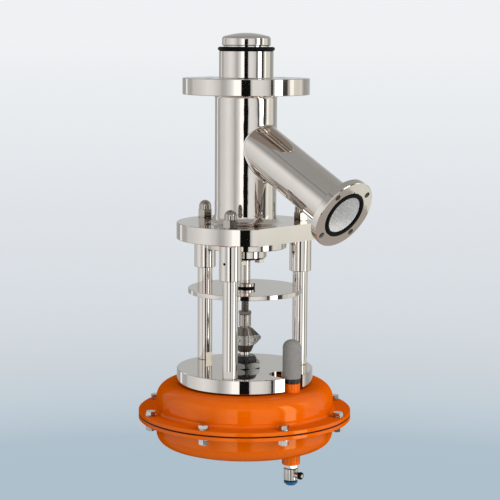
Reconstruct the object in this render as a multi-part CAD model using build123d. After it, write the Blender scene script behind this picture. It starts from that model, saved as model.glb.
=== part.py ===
from build123d import *
import os
from math import asin, cos, pi, radians, sin, sqrt, tan

# Tank bottom valve with a slanted outlet, an open three-column yoke and a round
# diaphragm actuator that pushes the plug up into the tank.
# Millimetres. Origin at the centre of the tank flange's upper face, +Z up along
# the stem, +X towards the side that the outlet points to.

# Tank flange with its spigot
TANK_FLANGE_D = 182.0
TANK_FLANGE_T = 23.4
TANK_BOLT_CIRCLE = 148.0
TANK_BOLT_HOLE_D = 11.0
TANK_BOLT_COUNT = 4
SPIGOT_D = 77.7
SPIGOT_H = 38.4
SEAT_BORE_D = 58.0
SEAT_BORE_DEPTH = 8.0

# Body tube
TUBE_D = 88.9
TUBE_WALL = 2.3
TUBE_LENGTH = 182.9
UPPER_WELD = 3.5
LOWER_WELD = 7.5
WELD_HOLLOW = 0.3

# Slanted outlet: a thick tube that widens a little towards its bolted hygienic flange
OUTLET_DROP = 56.2
OUTLET_SLOPE = 28.5
OUTLET_REACH = 214.0
OUTLET_ROOT_D = 66.0
OUTLET_NECK_D = 66.8
OUTLET_BORE_D = 56.3
OUTLET_FLANGE_D = 102.0
OUTLET_FLANGE_T = 11.0
OUTLET_NECK_L = 7.0
OUTLET_FLARE_W = 3.4
OUTLET_FLARE_H = 3.0
OUTLET_FLARE_START = 0.8
OUTLET_BOLT_CIRCLE = 85.0
OUTLET_BOLT_HOLE_D = 9.0
OUTLET_BOLT_COUNT = 4
OUTLET_RECESS_D = 69.4
OUTLET_RECESS_DEPTH = 1.4
OUTLET_NOTCH_W = 4.0
OUTLET_NOTCH_DEPTH = 1.2
GASKET_D = 68.6
GASKET_T = 3.4
GASKET_CROWN = 1.2

# Base flange with one flat under the outlet
BASE_D = 199.0
BASE_T = 24.2
BASE_FLAT = 81.0

# Broken edges on turned pieces and on hexagons
EDGE = 0.8
HEX_CHAMFER = 30.0

# Plug, its seat ring and the valve stem
PLUG_D = 69.4
PLUG_RIM_H = 13.8
PLUG_DOME_H = 4.4
PLUG_CORNER = 4.5
PLUG_FOOT = 1.5
PLUG_LIP_INSET = 2.3
PLUG_LIP_H = 1.6
PLUG_NECK_H = 6.0
PLUG_NECK_GAP = 1.5
SEAT_RING_H = 5.6
SEAT_RING_PROUD = 1.8
STEM_D = 15.0
STEM_CLEARANCE = 0.5
THREAD_D = 10.0
LIFT = 20.0

# Seal cartridge, bonnet and gland under the base flange
CARTRIDGE_GAP = 0.15
CARTRIDGE_WALL = 6.0
CARTRIDGE_ROOF = 14.0
CARTRIDGE_HUB_D = 40.0
CARTRIDGE_SLOPE = 6.0
CARTRIDGE_ROOF_GAP = 2.0
ORING_CORD = 3.5
ORING_SQUEEZE = 0.4
ORING_ROOM = 0.25
BONNET_D = 119.0
BONNET_T = 12.8
BONNET_BOLT_CIRCLE = 98.0
BONNET_BOLT_COUNT = 6
BONNET_SCREW_D = 8.0
BONNET_SCREW_GRIP = 14.0
BONNET_SCREW_TURN = 30.0
BONNET_SOCKET_AF = 6.0
BONNET_SOCKET_DEPTH = 4.0
SCREW_SINK = 0.5
TAP_SPARE = 2.0
SCREW_HEAD_D = 13.0
SCREW_HEAD_H = 8.0
GLAND_D = 62.0
GLAND_T = 16.0
GLAND_CHAMFER_W = 2.5
GLAND_CHAMFER_H = 3.0
GLAND_NOSE_GAP = 0.1
GLAND_BOLT_RADIUS = 21.0
GLAND_BOLT_D = 8.0
GLAND_BOLT_TURN = 15.0
GLAND_BOLT_STOP = 2.0
PACKING_D = 27.0
PACKING_RING_H = 5.0
PACKING_COUNT = 4
BUSH_D = 21.0
BUSH_L = 26.0
LIP_SEAL_D = 27.0
LIP_SEAL_H = 7.0
RUNNING = 0.05

# Yoke: three columns with stop sleeves, standing on a slotted plate
COLUMN_COUNT = 3
COLUMN_RADIUS = 83.6
COLUMN_D = 22.0
COLUMN_LENGTH = 189.0
COLUMN_SCREW_D = 12.0
COLUMN_FLAT_AF = 17.5
COLUMN_FLAT_H = 11.0
COLUMN_FOOT = 2.0
SLEEVE_D = 32.0
SLEEVE_LENGTH = 49.8
SLEEVE_HOLE_D = 4.0
SLEEVE_HOLE_TURN = -17.0
SLEEVE_FIT = 0.1
DOME_NUT_AF = 19.0
DOME_NUT_H = 25.4
DOME_NUT_HEX_H = 12.0
DOME_NUT_TURN = 10.0
DOME_NUT_INSET = 0.6
DOME_NUT_FLAT = 1.2
PLATE_D = 198.4
PLATE_T = 20.0
PLATE_SLOT_W = 37.5
PLATE_SLOT_INSET = 18.5

# Guide disc on the stem
DISC_D = 165.8
DISC_T = 6.7
DISC_STOP_GAP = 2.0
DISC_NOTCH_GAP = 0.6
DISC_NUT_D = 29.6
DISC_NUT_H = 4.5
DISC_NUT_SLOTS = 4
DISC_NUT_SLOT_W = 4.0
DISC_NUT_SLOT_DEPTH = 1.5
DISC_NUT_TURN = 20.0
SMALL_EDGE = 0.5
DISC_WASHER_D = 28.0
DISC_WASHER_T = 2.2
STEM_NUT_AF = 17.0
STEM_NUT_H = 8.0
STEM_NUT_TURN = 10.0

# Split clamp coupling between the two stems
LOCK_NUT_H = 4.8
LOCK_NUT_TURN = 25.0
LINK_D = 17.6
LINK_H = 18.0
LINK_THREAD_DEPTH = 13.0
CLAMP_GAP = 2.0
CLAMP_H = 35.0
CLAMP_D = 28.0
CLAMP_END_D = 19.0
CLAMP_CONE_H = 10.5
CLAMP_EAR_R = 22.5
CLAMP_EAR_W = 13.0
CLAMP_SPLIT = 0.8
CLAMP_TURN = 60.0
CLAMP_ABOVE_PLATE = 23.0
LINK_NECK_D = 11.0
LINK_HEAD_D = 16.0
LINK_HEAD_H = 7.0
CLAMP_SCREW_D = 4.0
CLAMP_SCREW_R = 11.4
CLAMP_SCREW_HEAD_D = 7.0
CLAMP_SCREW_HEAD_H = 4.0
CLAMP_SCREW_SINK = 2.5
CLAMP_SOCKET_AF = 3.0
CLAMP_SOCKET_DEPTH = 2.0
CLAMP_FIT = 0.1

# Actuator hub, its nut and wiper
HUB_D = 27.0
HUB_FLANGE_D = 90.0
HUB_FLANGE_T = 2.5
HUB_BOSS_D = 34.0
HUB_BOSS_H = 16.0
HUB_FLOOR = 4.0
PLATE_NUT_AF = 43.0
PLATE_NUT_H = 8.8
PLATE_NUT_TURN = 15.0
WIPER_D = 35.0
WIPER_TOP_D = 31.0
WIPER_H = 8.5
WIPER_BAND = 3.825
WIPER_LIP = 1.5
WIPER_EDGE = 1.0
HUB_BUSH_D = 20.0
HUB_SEAL_H = 5.0

# Actuator shells with their bolted rim
RIM_D = 309.8
RIM_WIDTH = 25.7
RIM_T = 5.6
SHELL_WALL = 4.0
RIM_FILLET = 4.0
UPPER_SHELL_H = 38.5
UPPER_SHOULDER = 22.0
LOWER_SHELL_H = 38.0
LOWER_SHOULDER = 18.0
RIM_BOLT_EDGE = 10.1
RIM_BOLT_COUNT = 8
RIM_BOLT_START = 21.5
RIM_BOLT_TURN = 12.0
RIM_NUT_TURN = 20.0
RIM_BOLT_D = 8.0
RIM_BOLT_AF = 13.0
RIM_BOLT_HEAD_H = 5.3
RIM_NUT_H = 6.5
RIM_BOLT_END = 1.2
WASHER_D = 16.0
WASHER_T = 1.6
HOLE_GAP = 0.4

# Ports in the shells, under the outlet
PORT_INSET = 35.7
PORT_THREAD_D = 11.0
PORT_WALL = 2.0
BOSS_FILLET = 1.2
UPPER_BOSS_D = 24.4
UPPER_BOSS_H = 13.0
LOWER_BOSS_D = 26.0
LOWER_BOSS_H = 16.0

# Diaphragm with its plates and springs
DIAPHRAGM_T = 1.6
DIAPHRAGM_DISH = 22.0
DIAPHRAGM_INSET = 0.4
ROLL_W = 54.2
ROLL_STEEP_W = 5.0
ROLL_UPPER_W = 7.0
ROLL_ROOM = 1.0
PISTON_ROOM = 4.0
PISTON_T = 4.0
PISTON_LIP_H = 5.0
PISTON_LIP_T = 2.5
BACKING_INSET = 15.0
BACKING_T = 3.0
PISTON_NUT_AF = 17.0
PISTON_NUT_H = 8.0
STEM_END_PROUD = 2.0
OUTER_SPRING_D = 96.0
OUTER_WIRE_D = 8.0
OUTER_TURNS = 3.0
INNER_SPRING_D = 60.0
INNER_WIRE_D = 6.0
INNER_TURNS = 4.0

# Silencer on the upper port
SILENCER_D = 26.2
SILENCER_H = 55.8
SILENCER_ROUND = 11.5
SILENCER_FOOT = 1.0
SILENCER_COLLAR_D = 24.0
SILENCER_COLLAR_H = 6.6
COLLAR_EDGE = 0.6
NIPPLE_L = 9.0

# Push-in fitting with its flow screw on the lower port
FITTING_HEX_AF = 18.0
FITTING_HEX_H = 5.0
FITTING_HEX_TURN = 10.0
FITTING_BODY_D = 20.8
FITTING_BODY_H = 18.3
FITTING_SHOULDER = 1.2
FITTING_BORE_D = 14.0
STUD_D = 12.0
STUD_L = 6.0
STUD_SNAP = 0.6
STUD_SNAP_H = 1.2
STUD_SNAP_EDGE = 0.3
STUD_GAP = 0.1
TUBE_PORT_D = 8.2
TUBE_PORT_DEPTH = 10.5
RELEASE_D = 20.0
RELEASE_TIP_D = 13.5
RELEASE_H = 5.4
RELEASE_CONE_H = 3.24
RELEASE_FACE_GAP = 0.3
RELEASE_INNER_GAP = 0.6
RELEASE_TRAVEL = 1.2
RELEASE_SKIRT_H = 7.0
ARM_D = 9.6
ARM_REACH = 17.0
ARM_NUT_D = 10.6
ARM_NUT_L = 3.6
FLOW_SCREW_D = 5.0
FLOW_SCREW_PROUD = 1.4
FLOW_SCREW_DEPTH = 5.5
FLOW_SCREW_ROOM = 0.5
FLOW_SLOT_W = 0.9
FLOW_SLOT_DEPTH = 0.9

# Sizes and heights that follow from the ones above
SHELL_D = RIM_D - 2 * RIM_WIDTH
RIM_BOLT_RADIUS = RIM_D / 2 - RIM_BOLT_EDGE
PORT_RADIUS = SHELL_D / 2 - PORT_INSET
PLATE_SLOT_CENTRE = PORT_RADIUS - PLATE_SLOT_INSET
PISTON_D = SHELL_D - 2 * ROLL_W
BACKING_D = PISTON_D - 2 * BACKING_INSET
TUBE_TOP = -TANK_FLANGE_T
BASE_TOP = TUBE_TOP - TUBE_LENGTH
BASE_BOTTOM = BASE_TOP - BASE_T
OUTLET_Z = TUBE_TOP - OUTLET_DROP
TUBE_BORE_D = TUBE_D - 2 * TUBE_WALL
SEAT_TOP = SPIGOT_H + SEAT_RING_H
PLUG_BOTTOM = SEAT_TOP
BONNET_BOTTOM = BASE_BOTTOM - BONNET_T
GLAND_BOTTOM = BONNET_BOTTOM - GLAND_T
SLEEVE_BOTTOM = BASE_BOTTOM - SLEEVE_LENGTH
DISC_TOP = SLEEVE_BOTTOM - LIFT - DISC_STOP_GAP
DISC_BOTTOM = DISC_TOP - DISC_T
PLATE_TOP = BASE_BOTTOM - COLUMN_LENGTH
PLATE_BOTTOM = PLATE_TOP - PLATE_T
CLAMP_BOTTOM = PLATE_TOP + CLAMP_ABOVE_PLATE
CLAMP_TOP = CLAMP_BOTTOM + CLAMP_H
CLAMP_MIDDLE = (CLAMP_TOP + CLAMP_BOTTOM) / 2
LINK_BOTTOM = CLAMP_TOP + CLAMP_GAP
LINK_TOP = LINK_BOTTOM + LINK_H
SHELL_TOP = PLATE_BOTTOM - HUB_FLANGE_T
RIM_TOP = SHELL_TOP - UPPER_SHELL_H
DIAPHRAGM_TOP = RIM_TOP - RIM_T
DIAPHRAGM_BOTTOM = DIAPHRAGM_TOP - DIAPHRAGM_T
RIM_BOTTOM = DIAPHRAGM_BOTTOM - RIM_T
SHELL_BOTTOM = RIM_BOTTOM - LOWER_SHELL_H
UPPER_BOSS_TOP = SHELL_TOP + UPPER_BOSS_H
LOWER_BOSS_BOTTOM = SHELL_BOTTOM - LOWER_BOSS_H
PISTON_BOTTOM = DIAPHRAGM_TOP - DIAPHRAGM_DISH
PISTON_TOP = PISTON_BOTTOM + PISTON_T
BACKING_TOP = PISTON_BOTTOM - DIAPHRAGM_T
BACKING_BOTTOM = BACKING_TOP - BACKING_T
STEM_END = BACKING_BOTTOM - PISTON_NUT_H - STEM_END_PROUD
COLUMN_ANGLES = [180 + 360 * i / COLUMN_COUNT for i in range(COLUMN_COUNT)]
RIM_BOLT_ANGLES = [RIM_BOLT_START + 360 * i / RIM_BOLT_COUNT for i in range(RIM_BOLT_COUNT)]


def rod(radius, low, high):
    """Upright round bar between two heights."""
    bar = Cylinder(radius, high - low, align=(Align.CENTER, Align.CENTER, Align.MIN))
    return Pos(0, 0, low) * bar


def turned(points):
    """Solid turned about the Z axis from a closed outline of (radius, height) points."""
    outline = Polyline([(r, 0, z) for r, z in points], close=True)
    return revolve(make_face(outline), Axis.Z)


def ring(outer, inner, low, high, edge=0.0):
    """Upright ring with its two outer edges broken by a chamfer."""
    corners = [(inner, low), (outer - edge, low), (outer, low + edge)]
    corners += [(outer, high - edge), (outer - edge, high), (inner, high)]
    if edge == 0:
        corners = [(inner, low), (outer, low), (outer, high), (inner, high)]
    return turned(corners)


def hexagon(across_flats, low, high, turn=0.0):
    """Upright hexagonal bar with the corners broken at both ends."""
    corner = across_flats / sqrt(3)
    bar = extrude(RegularPolygon(corner, 6, rotation=turn), high - low)
    cut = corner - across_flats / 2
    slant = cut * tan(radians(HEX_CHAMFER))
    cone = [(0, low), (corner - cut, low), (corner, low + slant)]
    cone += [(corner, high - slant), (corner - cut, high), (0, high)]
    return Pos(0, 0, low) * bar & turned(cone)


def cap_arc(radius, low, height):
    """Point half way along the arc of a round cap, from its edge to its top."""
    ball = (radius * radius + height * height) / (2 * height)
    half = asin(radius / ball) / 2
    if height > ball:
        half = (pi - asin(radius / ball)) / 2
    return ball * sin(half), low + height - ball + ball * cos(half)


def around(shape, radius, angles):
    """Copies of a shape set at one radius and at each of the angles."""
    return [Rot(0, 0, angle) * Pos(radius, 0, 0) * shape for angle in angles]


def spaced(count, start=0.0):
    """Angles of a number of equal steps round a circle."""
    return [start + 360 * i / count for i in range(count)]


def drill(shape, holes):
    """The shape with each of the holes taken out of it."""
    for hole in holes:
        shape = shape - hole
    return shape


def outlet_place(along):
    """Plane square to the outlet's axis, at a distance along it from the stem."""
    slope = radians(OUTLET_SLOPE)
    direction = (cos(slope), 0, -sin(slope))
    centre = (along * cos(slope), 0, OUTLET_Z - along * sin(slope))
    return Plane(origin=centre, x_dir=(0, 1, 0), z_dir=direction)


def save(name, *solids):
    """Write one sub-part to its own file."""
    shape = solids[0] if len(solids) == 1 else Compound(children=list(solids))
    export_step(shape, f"parts/{name}.step")


def make_tank_flange():
    """Flange and spigot, turned as one piece, with the throat that leads to the seat."""
    outer = TANK_FLANGE_D / 2
    spigot = SPIGOT_D / 2
    seat = SEAT_BORE_D / 2
    throat = TUBE_BORE_D / 2
    profile = [(throat, TUBE_TOP), (outer - EDGE, TUBE_TOP), (outer, TUBE_TOP + EDGE)]
    profile += [(outer, -EDGE), (outer - EDGE, 0), (spigot + EDGE, 0), (spigot, EDGE)]
    profile += [(spigot, SPIGOT_H - EDGE), (spigot - EDGE, SPIGOT_H), (seat, SPIGOT_H)]
    profile += [(seat, SPIGOT_H - SEAT_BORE_DEPTH), (throat, TUBE_TOP + TANK_FLANGE_T / 2)]
    hole = rod(TANK_BOLT_HOLE_D / 2, TUBE_TOP - 1, 1)
    holes = around(hole, TANK_BOLT_CIRCLE / 2, spaced(TANK_BOLT_COUNT))
    return drill(turned(profile), holes)


def make_body_tube():
    """Tube between the two flanges, with its polished weld beads and the outlet's window."""
    outer = TUBE_D / 2
    inner = TUBE_BORE_D / 2
    upper = UPPER_WELD
    lower = LOWER_WELD
    upper_fold = upper * WELD_HOLLOW
    lower_fold = lower * WELD_HOLLOW
    points = [(inner, BASE_TOP), (outer + lower, BASE_TOP), (outer + lower_fold, BASE_TOP + lower_fold)]
    points += [(outer, BASE_TOP + lower), (outer, TUBE_TOP - upper)]
    points += [(outer + upper_fold, TUBE_TOP - upper_fold), (outer + upper, TUBE_TOP), (inner, TUBE_TOP)]
    window = extrude(outlet_place(0) * Circle(OUTLET_BORE_D / 2), TUBE_D)
    return turned(points) - window


def make_outlet_tube():
    """Outlet tube, a little wider at its mouth, cut to sit on the body tube."""
    root = OUTLET_ROOT_D / 2
    end = OUTLET_REACH - OUTLET_FLANGE_T - OUTLET_NECK_L
    taper = loft([outlet_place(0) * Circle(root), outlet_place(end) * Circle(OUTLET_NECK_D / 2)])
    bore = extrude(outlet_place(-1) * Circle(OUTLET_BORE_D / 2), end + 2)
    saddle = rod(TUBE_D / 2, BASE_TOP, TUBE_TOP)
    return taper - bore - saddle


def make_outlet_flange():
    """Weld-neck flange with four holes, a gasket recess and a small locating notch."""
    outer = OUTLET_FLANGE_D / 2
    neck = OUTLET_NECK_D / 2
    bore = OUTLET_BORE_D / 2
    recess = OUTLET_RECESS_D / 2
    back = -OUTLET_FLANGE_T
    weld = back - OUTLET_NECK_L
    profile = [(bore, weld), (neck, weld), (neck + OUTLET_FLARE_START, back - OUTLET_FLARE_H)]
    profile += [(neck + OUTLET_FLARE_W, back)]
    profile += [(outer - EDGE, back), (outer, back + EDGE), (outer, -EDGE), (outer - EDGE, 0)]
    profile += [(recess, 0), (recess, -OUTLET_RECESS_DEPTH), (bore, -OUTLET_RECESS_DEPTH)]
    flange = turned(profile)
    hole = rod(OUTLET_BOLT_HOLE_D / 2, back - 1, 1)
    flange = drill(flange, around(hole, OUTLET_BOLT_CIRCLE / 2, spaced(OUTLET_BOLT_COUNT, 45)))
    notch = Box(OUTLET_NOTCH_W, 2 * OUTLET_NOTCH_DEPTH, 2 * OUTLET_RECESS_DEPTH)
    notch = Rot(0, 0, 90) * Pos(recess, 0, 0) * notch
    return outlet_place(OUTLET_REACH) * (flange - notch)


def make_outlet_gasket():
    """Rubber ring in the flange's recess, crowned towards the mating flange."""
    outer = GASKET_D / 2
    inner = OUTLET_BORE_D / 2
    low = -OUTLET_RECESS_DEPTH
    high = low + GASKET_T
    crown = GASKET_CROWN
    profile = [(inner, low), (outer, low), (outer, high - crown), (outer - 2 * crown, high)]
    profile += [(inner + 2 * crown, high), (inner, high - crown)]
    return outlet_place(OUTLET_REACH) * turned(profile)


def make_base_flange():
    """Thick flange at the tube's foot, cut flat below the outlet, drilled for the columns."""
    body = ring(BASE_D / 2, TUBE_BORE_D / 2, BASE_BOTTOM, BASE_TOP, EDGE)
    spare = BASE_D - BASE_FLAT
    block = Box(spare, 2 * BASE_D, 2 * BASE_T, align=(Align.MIN, Align.CENTER, Align.CENTER))
    body = body - Pos(BASE_FLAT, 0, BASE_TOP - BASE_T / 2) * block
    column_hole = rod(COLUMN_SCREW_D / 2 + SLEEVE_FIT, BASE_BOTTOM - 1, BASE_TOP + 1)
    body = drill(body, around(column_hole, COLUMN_RADIUS, COLUMN_ANGLES))
    tapped = rod(BONNET_SCREW_D / 2, BASE_BOTTOM - 1, BASE_BOTTOM + BONNET_SCREW_GRIP + TAP_SPARE)
    return drill(body, around(tapped, BONNET_BOLT_CIRCLE / 2, bonnet_screw_angles()))


def make_seat_ring():
    """Rubber ring on the spigot's end: a round bead outside, a flat seat for the plug inside."""
    inner = SEAT_BORE_D / 2
    bead = SEAT_RING_H / 2
    centre = SPIGOT_D / 2 + SEAT_RING_PROUD - bead
    middle = SPIGOT_H + bead
    flat = rod(centre, SPIGOT_H, SEAT_TOP)
    round_edge = Pos(0, 0, middle) * Torus(centre, bead)
    return flat + round_edge - rod(inner, SPIGOT_H - 1, SEAT_TOP + 1)


def make_plug():
    """Domed closing plug with a lip that rests on the seat ring."""
    radius = PLUG_D / 2
    lip = radius - PLUG_LIP_INSET
    rim_low = PLUG_BOTTOM + PLUG_LIP_H
    rim_high = rim_low + PLUG_RIM_H
    apex = rim_high + PLUG_DOME_H
    edge = radius - PLUG_CORNER
    inset = PLUG_CORNER * (1 - sqrt(0.5))
    bulge = radius - inset
    foot_edge = radius - PLUG_FOOT
    foot_inset = PLUG_FOOT * (1 - sqrt(0.5))
    foot_bulge = (radius - foot_inset, rim_low + foot_inset)
    side_low = rim_low + PLUG_FOOT
    side_high = rim_high - PLUG_CORNER
    guide = SEAT_BORE_D / 2 - PLUG_NECK_GAP
    neck_low = PLUG_BOTTOM - PLUG_NECK_H
    with BuildSketch(Plane.XZ) as section:
        with BuildLine():
            Line((0, apex), (0, neck_low))
            Line((0, neck_low), (guide - PLUG_NECK_H, neck_low))
            Line((guide - PLUG_NECK_H, neck_low), (guide, PLUG_BOTTOM))
            Line((guide, PLUG_BOTTOM), (lip, PLUG_BOTTOM))
            Line((lip, PLUG_BOTTOM), (lip, rim_low))
            Line((lip, rim_low), (foot_edge, rim_low))
            ThreePointArc((foot_edge, rim_low), foot_bulge, (radius, side_low))
            Line((radius, side_low), (radius, side_high))
            ThreePointArc((radius, side_high), (bulge, rim_high - inset), (edge, rim_high))
            ThreePointArc((edge, rim_high), cap_arc(edge, rim_high, PLUG_DOME_H), (0, apex))
        make_face()
    plug = revolve(section.sketch, Axis.Z)
    socket = rod(THREAD_D / 2, neck_low - 1, PLUG_BOTTOM + PLUG_RIM_H)
    return plug - socket


def make_valve_stem():
    """Long polished stem with a threaded end in the plug and one below the guide disc."""
    shoulder = PLUG_BOTTOM - PLUG_NECK_H
    top = PLUG_BOTTOM + PLUG_RIM_H
    lower_shoulder = DISC_TOP + DISC_WASHER_T + DISC_NUT_H
    end = LINK_TOP - LINK_THREAD_DEPTH
    radius = STEM_D / 2
    thread = THREAD_D / 2
    profile = [(0, end), (thread - EDGE, end), (thread, end + EDGE), (thread, lower_shoulder)]
    profile += [(radius - EDGE, lower_shoulder), (radius, lower_shoulder + EDGE), (radius, shoulder)]
    profile += [(thread, shoulder), (thread, top), (0, top)]
    return turned(profile)


def cartridge_roof():
    """Height of the cartridge's sloping roof on the stem's axis, just under the outlet."""
    slope = radians(OUTLET_SLOPE)
    bore = TUBE_BORE_D / 2
    lowest = OUTLET_Z - bore * tan(slope) - OUTLET_BORE_D / 2 / cos(slope)
    return lowest - CARTRIDGE_ROOF_GAP + bore * tan(radians(CARTRIDGE_SLOPE))


def make_seal_cartridge():
    """Insert that fills the tube below the outlet and carries the stem's seal and bush."""
    outer = TUBE_BORE_D / 2 - CARTRIDGE_GAP
    hub = CARTRIDGE_HUB_D / 2
    stem = STEM_D / 2 + STEM_CLEARANCE
    roof = cartridge_roof()
    seal_low = roof - CARTRIDGE_ROOF
    big = 4 * TUBE_BORE_D
    body = rod(outer, BASE_BOTTOM, roof + TUBE_BORE_D)
    sloping = Pos(0, 0, roof) * Rot(0, CARTRIDGE_SLOPE, 0)
    body = body - sloping * Pos(0, 0, TUBE_BORE_D) * Box(big, big, 2 * TUBE_BORE_D)
    pocket = ring(outer - CARTRIDGE_WALL, hub, BASE_BOTTOM - 1, seal_low)
    body = body - pocket - rod(stem, BASE_BOTTOM - 1, roof + TUBE_BORE_D)
    body = body - rod(LIP_SEAL_D / 2, seal_low, seal_low + LIP_SEAL_H)
    body = body - rod(BUSH_D / 2, seal_low - BUSH_L, seal_low)
    floor = outer - ORING_CORD + ORING_SQUEEZE
    for height in cartridge_oring_heights():
        body = body - ring(outer + 1, floor, height - ORING_CORD / 2, height + ORING_CORD / 2)
    packing = PACKING_COUNT * PACKING_RING_H
    return body - rod(PACKING_D / 2, BASE_BOTTOM - 1, BASE_BOTTOM + packing)


def cartridge_oring_heights():
    """Heights of the cartridge's two O-rings."""
    return [BASE_BOTTOM + BASE_T / 2, cartridge_roof() - CARTRIDGE_ROOF + ORING_CORD / 2 + ORING_ROOM]


def make_cartridge_orings():
    """Two square-section rings that fill their grooves out to the tube's wall."""
    outer = TUBE_BORE_D / 2
    inner = outer - CARTRIDGE_GAP - ORING_CORD + ORING_SQUEEZE
    half = ORING_CORD / 2
    return [ring(outer, inner, z - half, z + half) for z in cartridge_oring_heights()]


def make_lip_seal():
    """Stem seal under the cartridge's roof."""
    low = cartridge_roof() - CARTRIDGE_ROOF
    return ring(LIP_SEAL_D / 2, STEM_D / 2 + RUNNING, low, low + LIP_SEAL_H)


def make_guide_bush():
    """Plain bush that guides the stem under its seal."""
    high = cartridge_roof() - CARTRIDGE_ROOF
    return ring(BUSH_D / 2, STEM_D / 2 + RUNNING, high - BUSH_L, high)


def make_packing_rings():
    """Stack of packing rings above the gland's nose."""
    low = BASE_BOTTOM
    inner = STEM_D / 2 + RUNNING
    steps = [low + i * PACKING_RING_H for i in range(PACKING_COUNT)]
    return [ring(PACKING_D / 2, inner, z, z + PACKING_RING_H) for z in steps]


def bonnet_screw_angles():
    """Angles of the bonnet's screws, turned clear of the gland bolts."""
    return spaced(BONNET_BOLT_COUNT, BONNET_SCREW_TURN)


def make_bonnet():
    """Round cover that holds the cartridge, with counterbored screw holes."""
    body = ring(BONNET_D / 2, PACKING_D / 2, BONNET_BOTTOM, BASE_BOTTOM, EDGE)
    through = rod(BONNET_SCREW_D / 2 + HOLE_GAP / 2, BONNET_BOTTOM - 1, BASE_BOTTOM + 1)
    head_top = BONNET_BOTTOM + SCREW_HEAD_H + SCREW_SINK
    sunk = rod(SCREW_HEAD_D / 2 + HOLE_GAP, BONNET_BOTTOM - 1, head_top)
    body = drill(body, around(through + sunk, BONNET_BOLT_CIRCLE / 2, bonnet_screw_angles()))
    tapped = rod(GLAND_BOLT_D / 2, BONNET_BOTTOM - 1, BASE_BOTTOM - 1)
    return drill(body, around(tapped, GLAND_BOLT_RADIUS, COLUMN_ANGLES))


def make_bonnet_screws():
    """Socket screws sunk in the bonnet."""
    head_top = BONNET_BOTTOM + SCREW_HEAD_H + SCREW_SINK
    head_bottom = head_top - SCREW_HEAD_H
    head = ring(SCREW_HEAD_D / 2, 0, head_bottom, head_top, SMALL_EDGE)
    socket = RegularPolygon(BONNET_SOCKET_AF / sqrt(3), 6)
    socket = Pos(0, 0, head_bottom - 1) * extrude(socket, BONNET_SOCKET_DEPTH + 1)
    screw = head + rod(BONNET_SCREW_D / 2, head_top, BASE_BOTTOM + BONNET_SCREW_GRIP) - socket
    return around(screw, BONNET_BOLT_CIRCLE / 2, bonnet_screw_angles())


def make_gland():
    """Round gland whose nose presses the packing; its lower edge is chamfered."""
    outer = GLAND_D / 2
    inner = STEM_D / 2 + STEM_CLEARANCE
    nose = PACKING_D / 2 - GLAND_NOSE_GAP
    profile = [(inner, GLAND_BOTTOM), (outer - GLAND_CHAMFER_W, GLAND_BOTTOM)]
    profile += [(outer, GLAND_BOTTOM + GLAND_CHAMFER_H)]
    profile += [(outer, BONNET_BOTTOM - EDGE), (outer - EDGE, BONNET_BOTTOM), (nose, BONNET_BOTTOM)]
    profile += [(nose, BASE_BOTTOM), (inner, BASE_BOTTOM)]
    hole = rod(GLAND_BOLT_D / 2 + HOLE_GAP / 2, GLAND_BOTTOM - 1, BONNET_BOTTOM + 1)
    return drill(turned(profile), around(hole, GLAND_BOLT_RADIUS, COLUMN_ANGLES))


def make_gland_washers():
    """One washer under each gland bolt."""
    washer = ring(WASHER_D / 2, GLAND_BOLT_D / 2 + HOLE_GAP / 2, GLAND_BOTTOM - WASHER_T, GLAND_BOTTOM)
    return around(washer, GLAND_BOLT_RADIUS, COLUMN_ANGLES)


def make_gland_bolts():
    """Hexagon bolts that draw the gland up."""
    head_top = GLAND_BOTTOM - WASHER_T
    head = hexagon(RIM_BOLT_AF, head_top - RIM_BOLT_HEAD_H, head_top, GLAND_BOLT_TURN)
    bolt = head + rod(GLAND_BOLT_D / 2, head_top, BASE_BOTTOM - GLAND_BOLT_STOP)
    return around(bolt, GLAND_BOLT_RADIUS, COLUMN_ANGLES)


def make_column():
    """Polished column with wrench flats at its foot and a threaded end at top and bottom."""
    radius = COLUMN_D / 2
    screw = COLUMN_SCREW_D / 2
    top = BASE_TOP + DOME_NUT_HEX_H
    foot = PLATE_BOTTOM + COLUMN_FOOT
    profile = [(0, foot), (screw, foot), (screw, PLATE_TOP), (radius - EDGE, PLATE_TOP)]
    profile += [(radius, PLATE_TOP + EDGE), (radius, BASE_BOTTOM - EDGE), (radius - EDGE, BASE_BOTTOM)]
    profile += [(screw, BASE_BOTTOM), (screw, top), (0, top)]
    column = turned(profile)
    flat = Box(COLUMN_D, COLUMN_D, COLUMN_FLAT_H, align=(Align.MIN, Align.CENTER, Align.MIN))
    for side in (0, 180):
        column = column - Rot(0, 0, side) * Pos(COLUMN_FLAT_AF / 2, 0, PLATE_TOP) * flat
    return column


def make_sleeve():
    """Stop sleeve round the column's upper end, with one small cross hole."""
    sleeve = ring(SLEEVE_D / 2, COLUMN_D / 2 + SLEEVE_FIT, SLEEVE_BOTTOM, BASE_BOTTOM, EDGE)
    middle = (SLEEVE_BOTTOM + BASE_BOTTOM) / 2
    hole = Pos(0, 0, middle) * Rot(0, 90, 0) * rod(SLEEVE_HOLE_D / 2, 0, SLEEVE_D)
    return sleeve - Rot(0, 0, SLEEVE_HOLE_TURN) * hole


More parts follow.
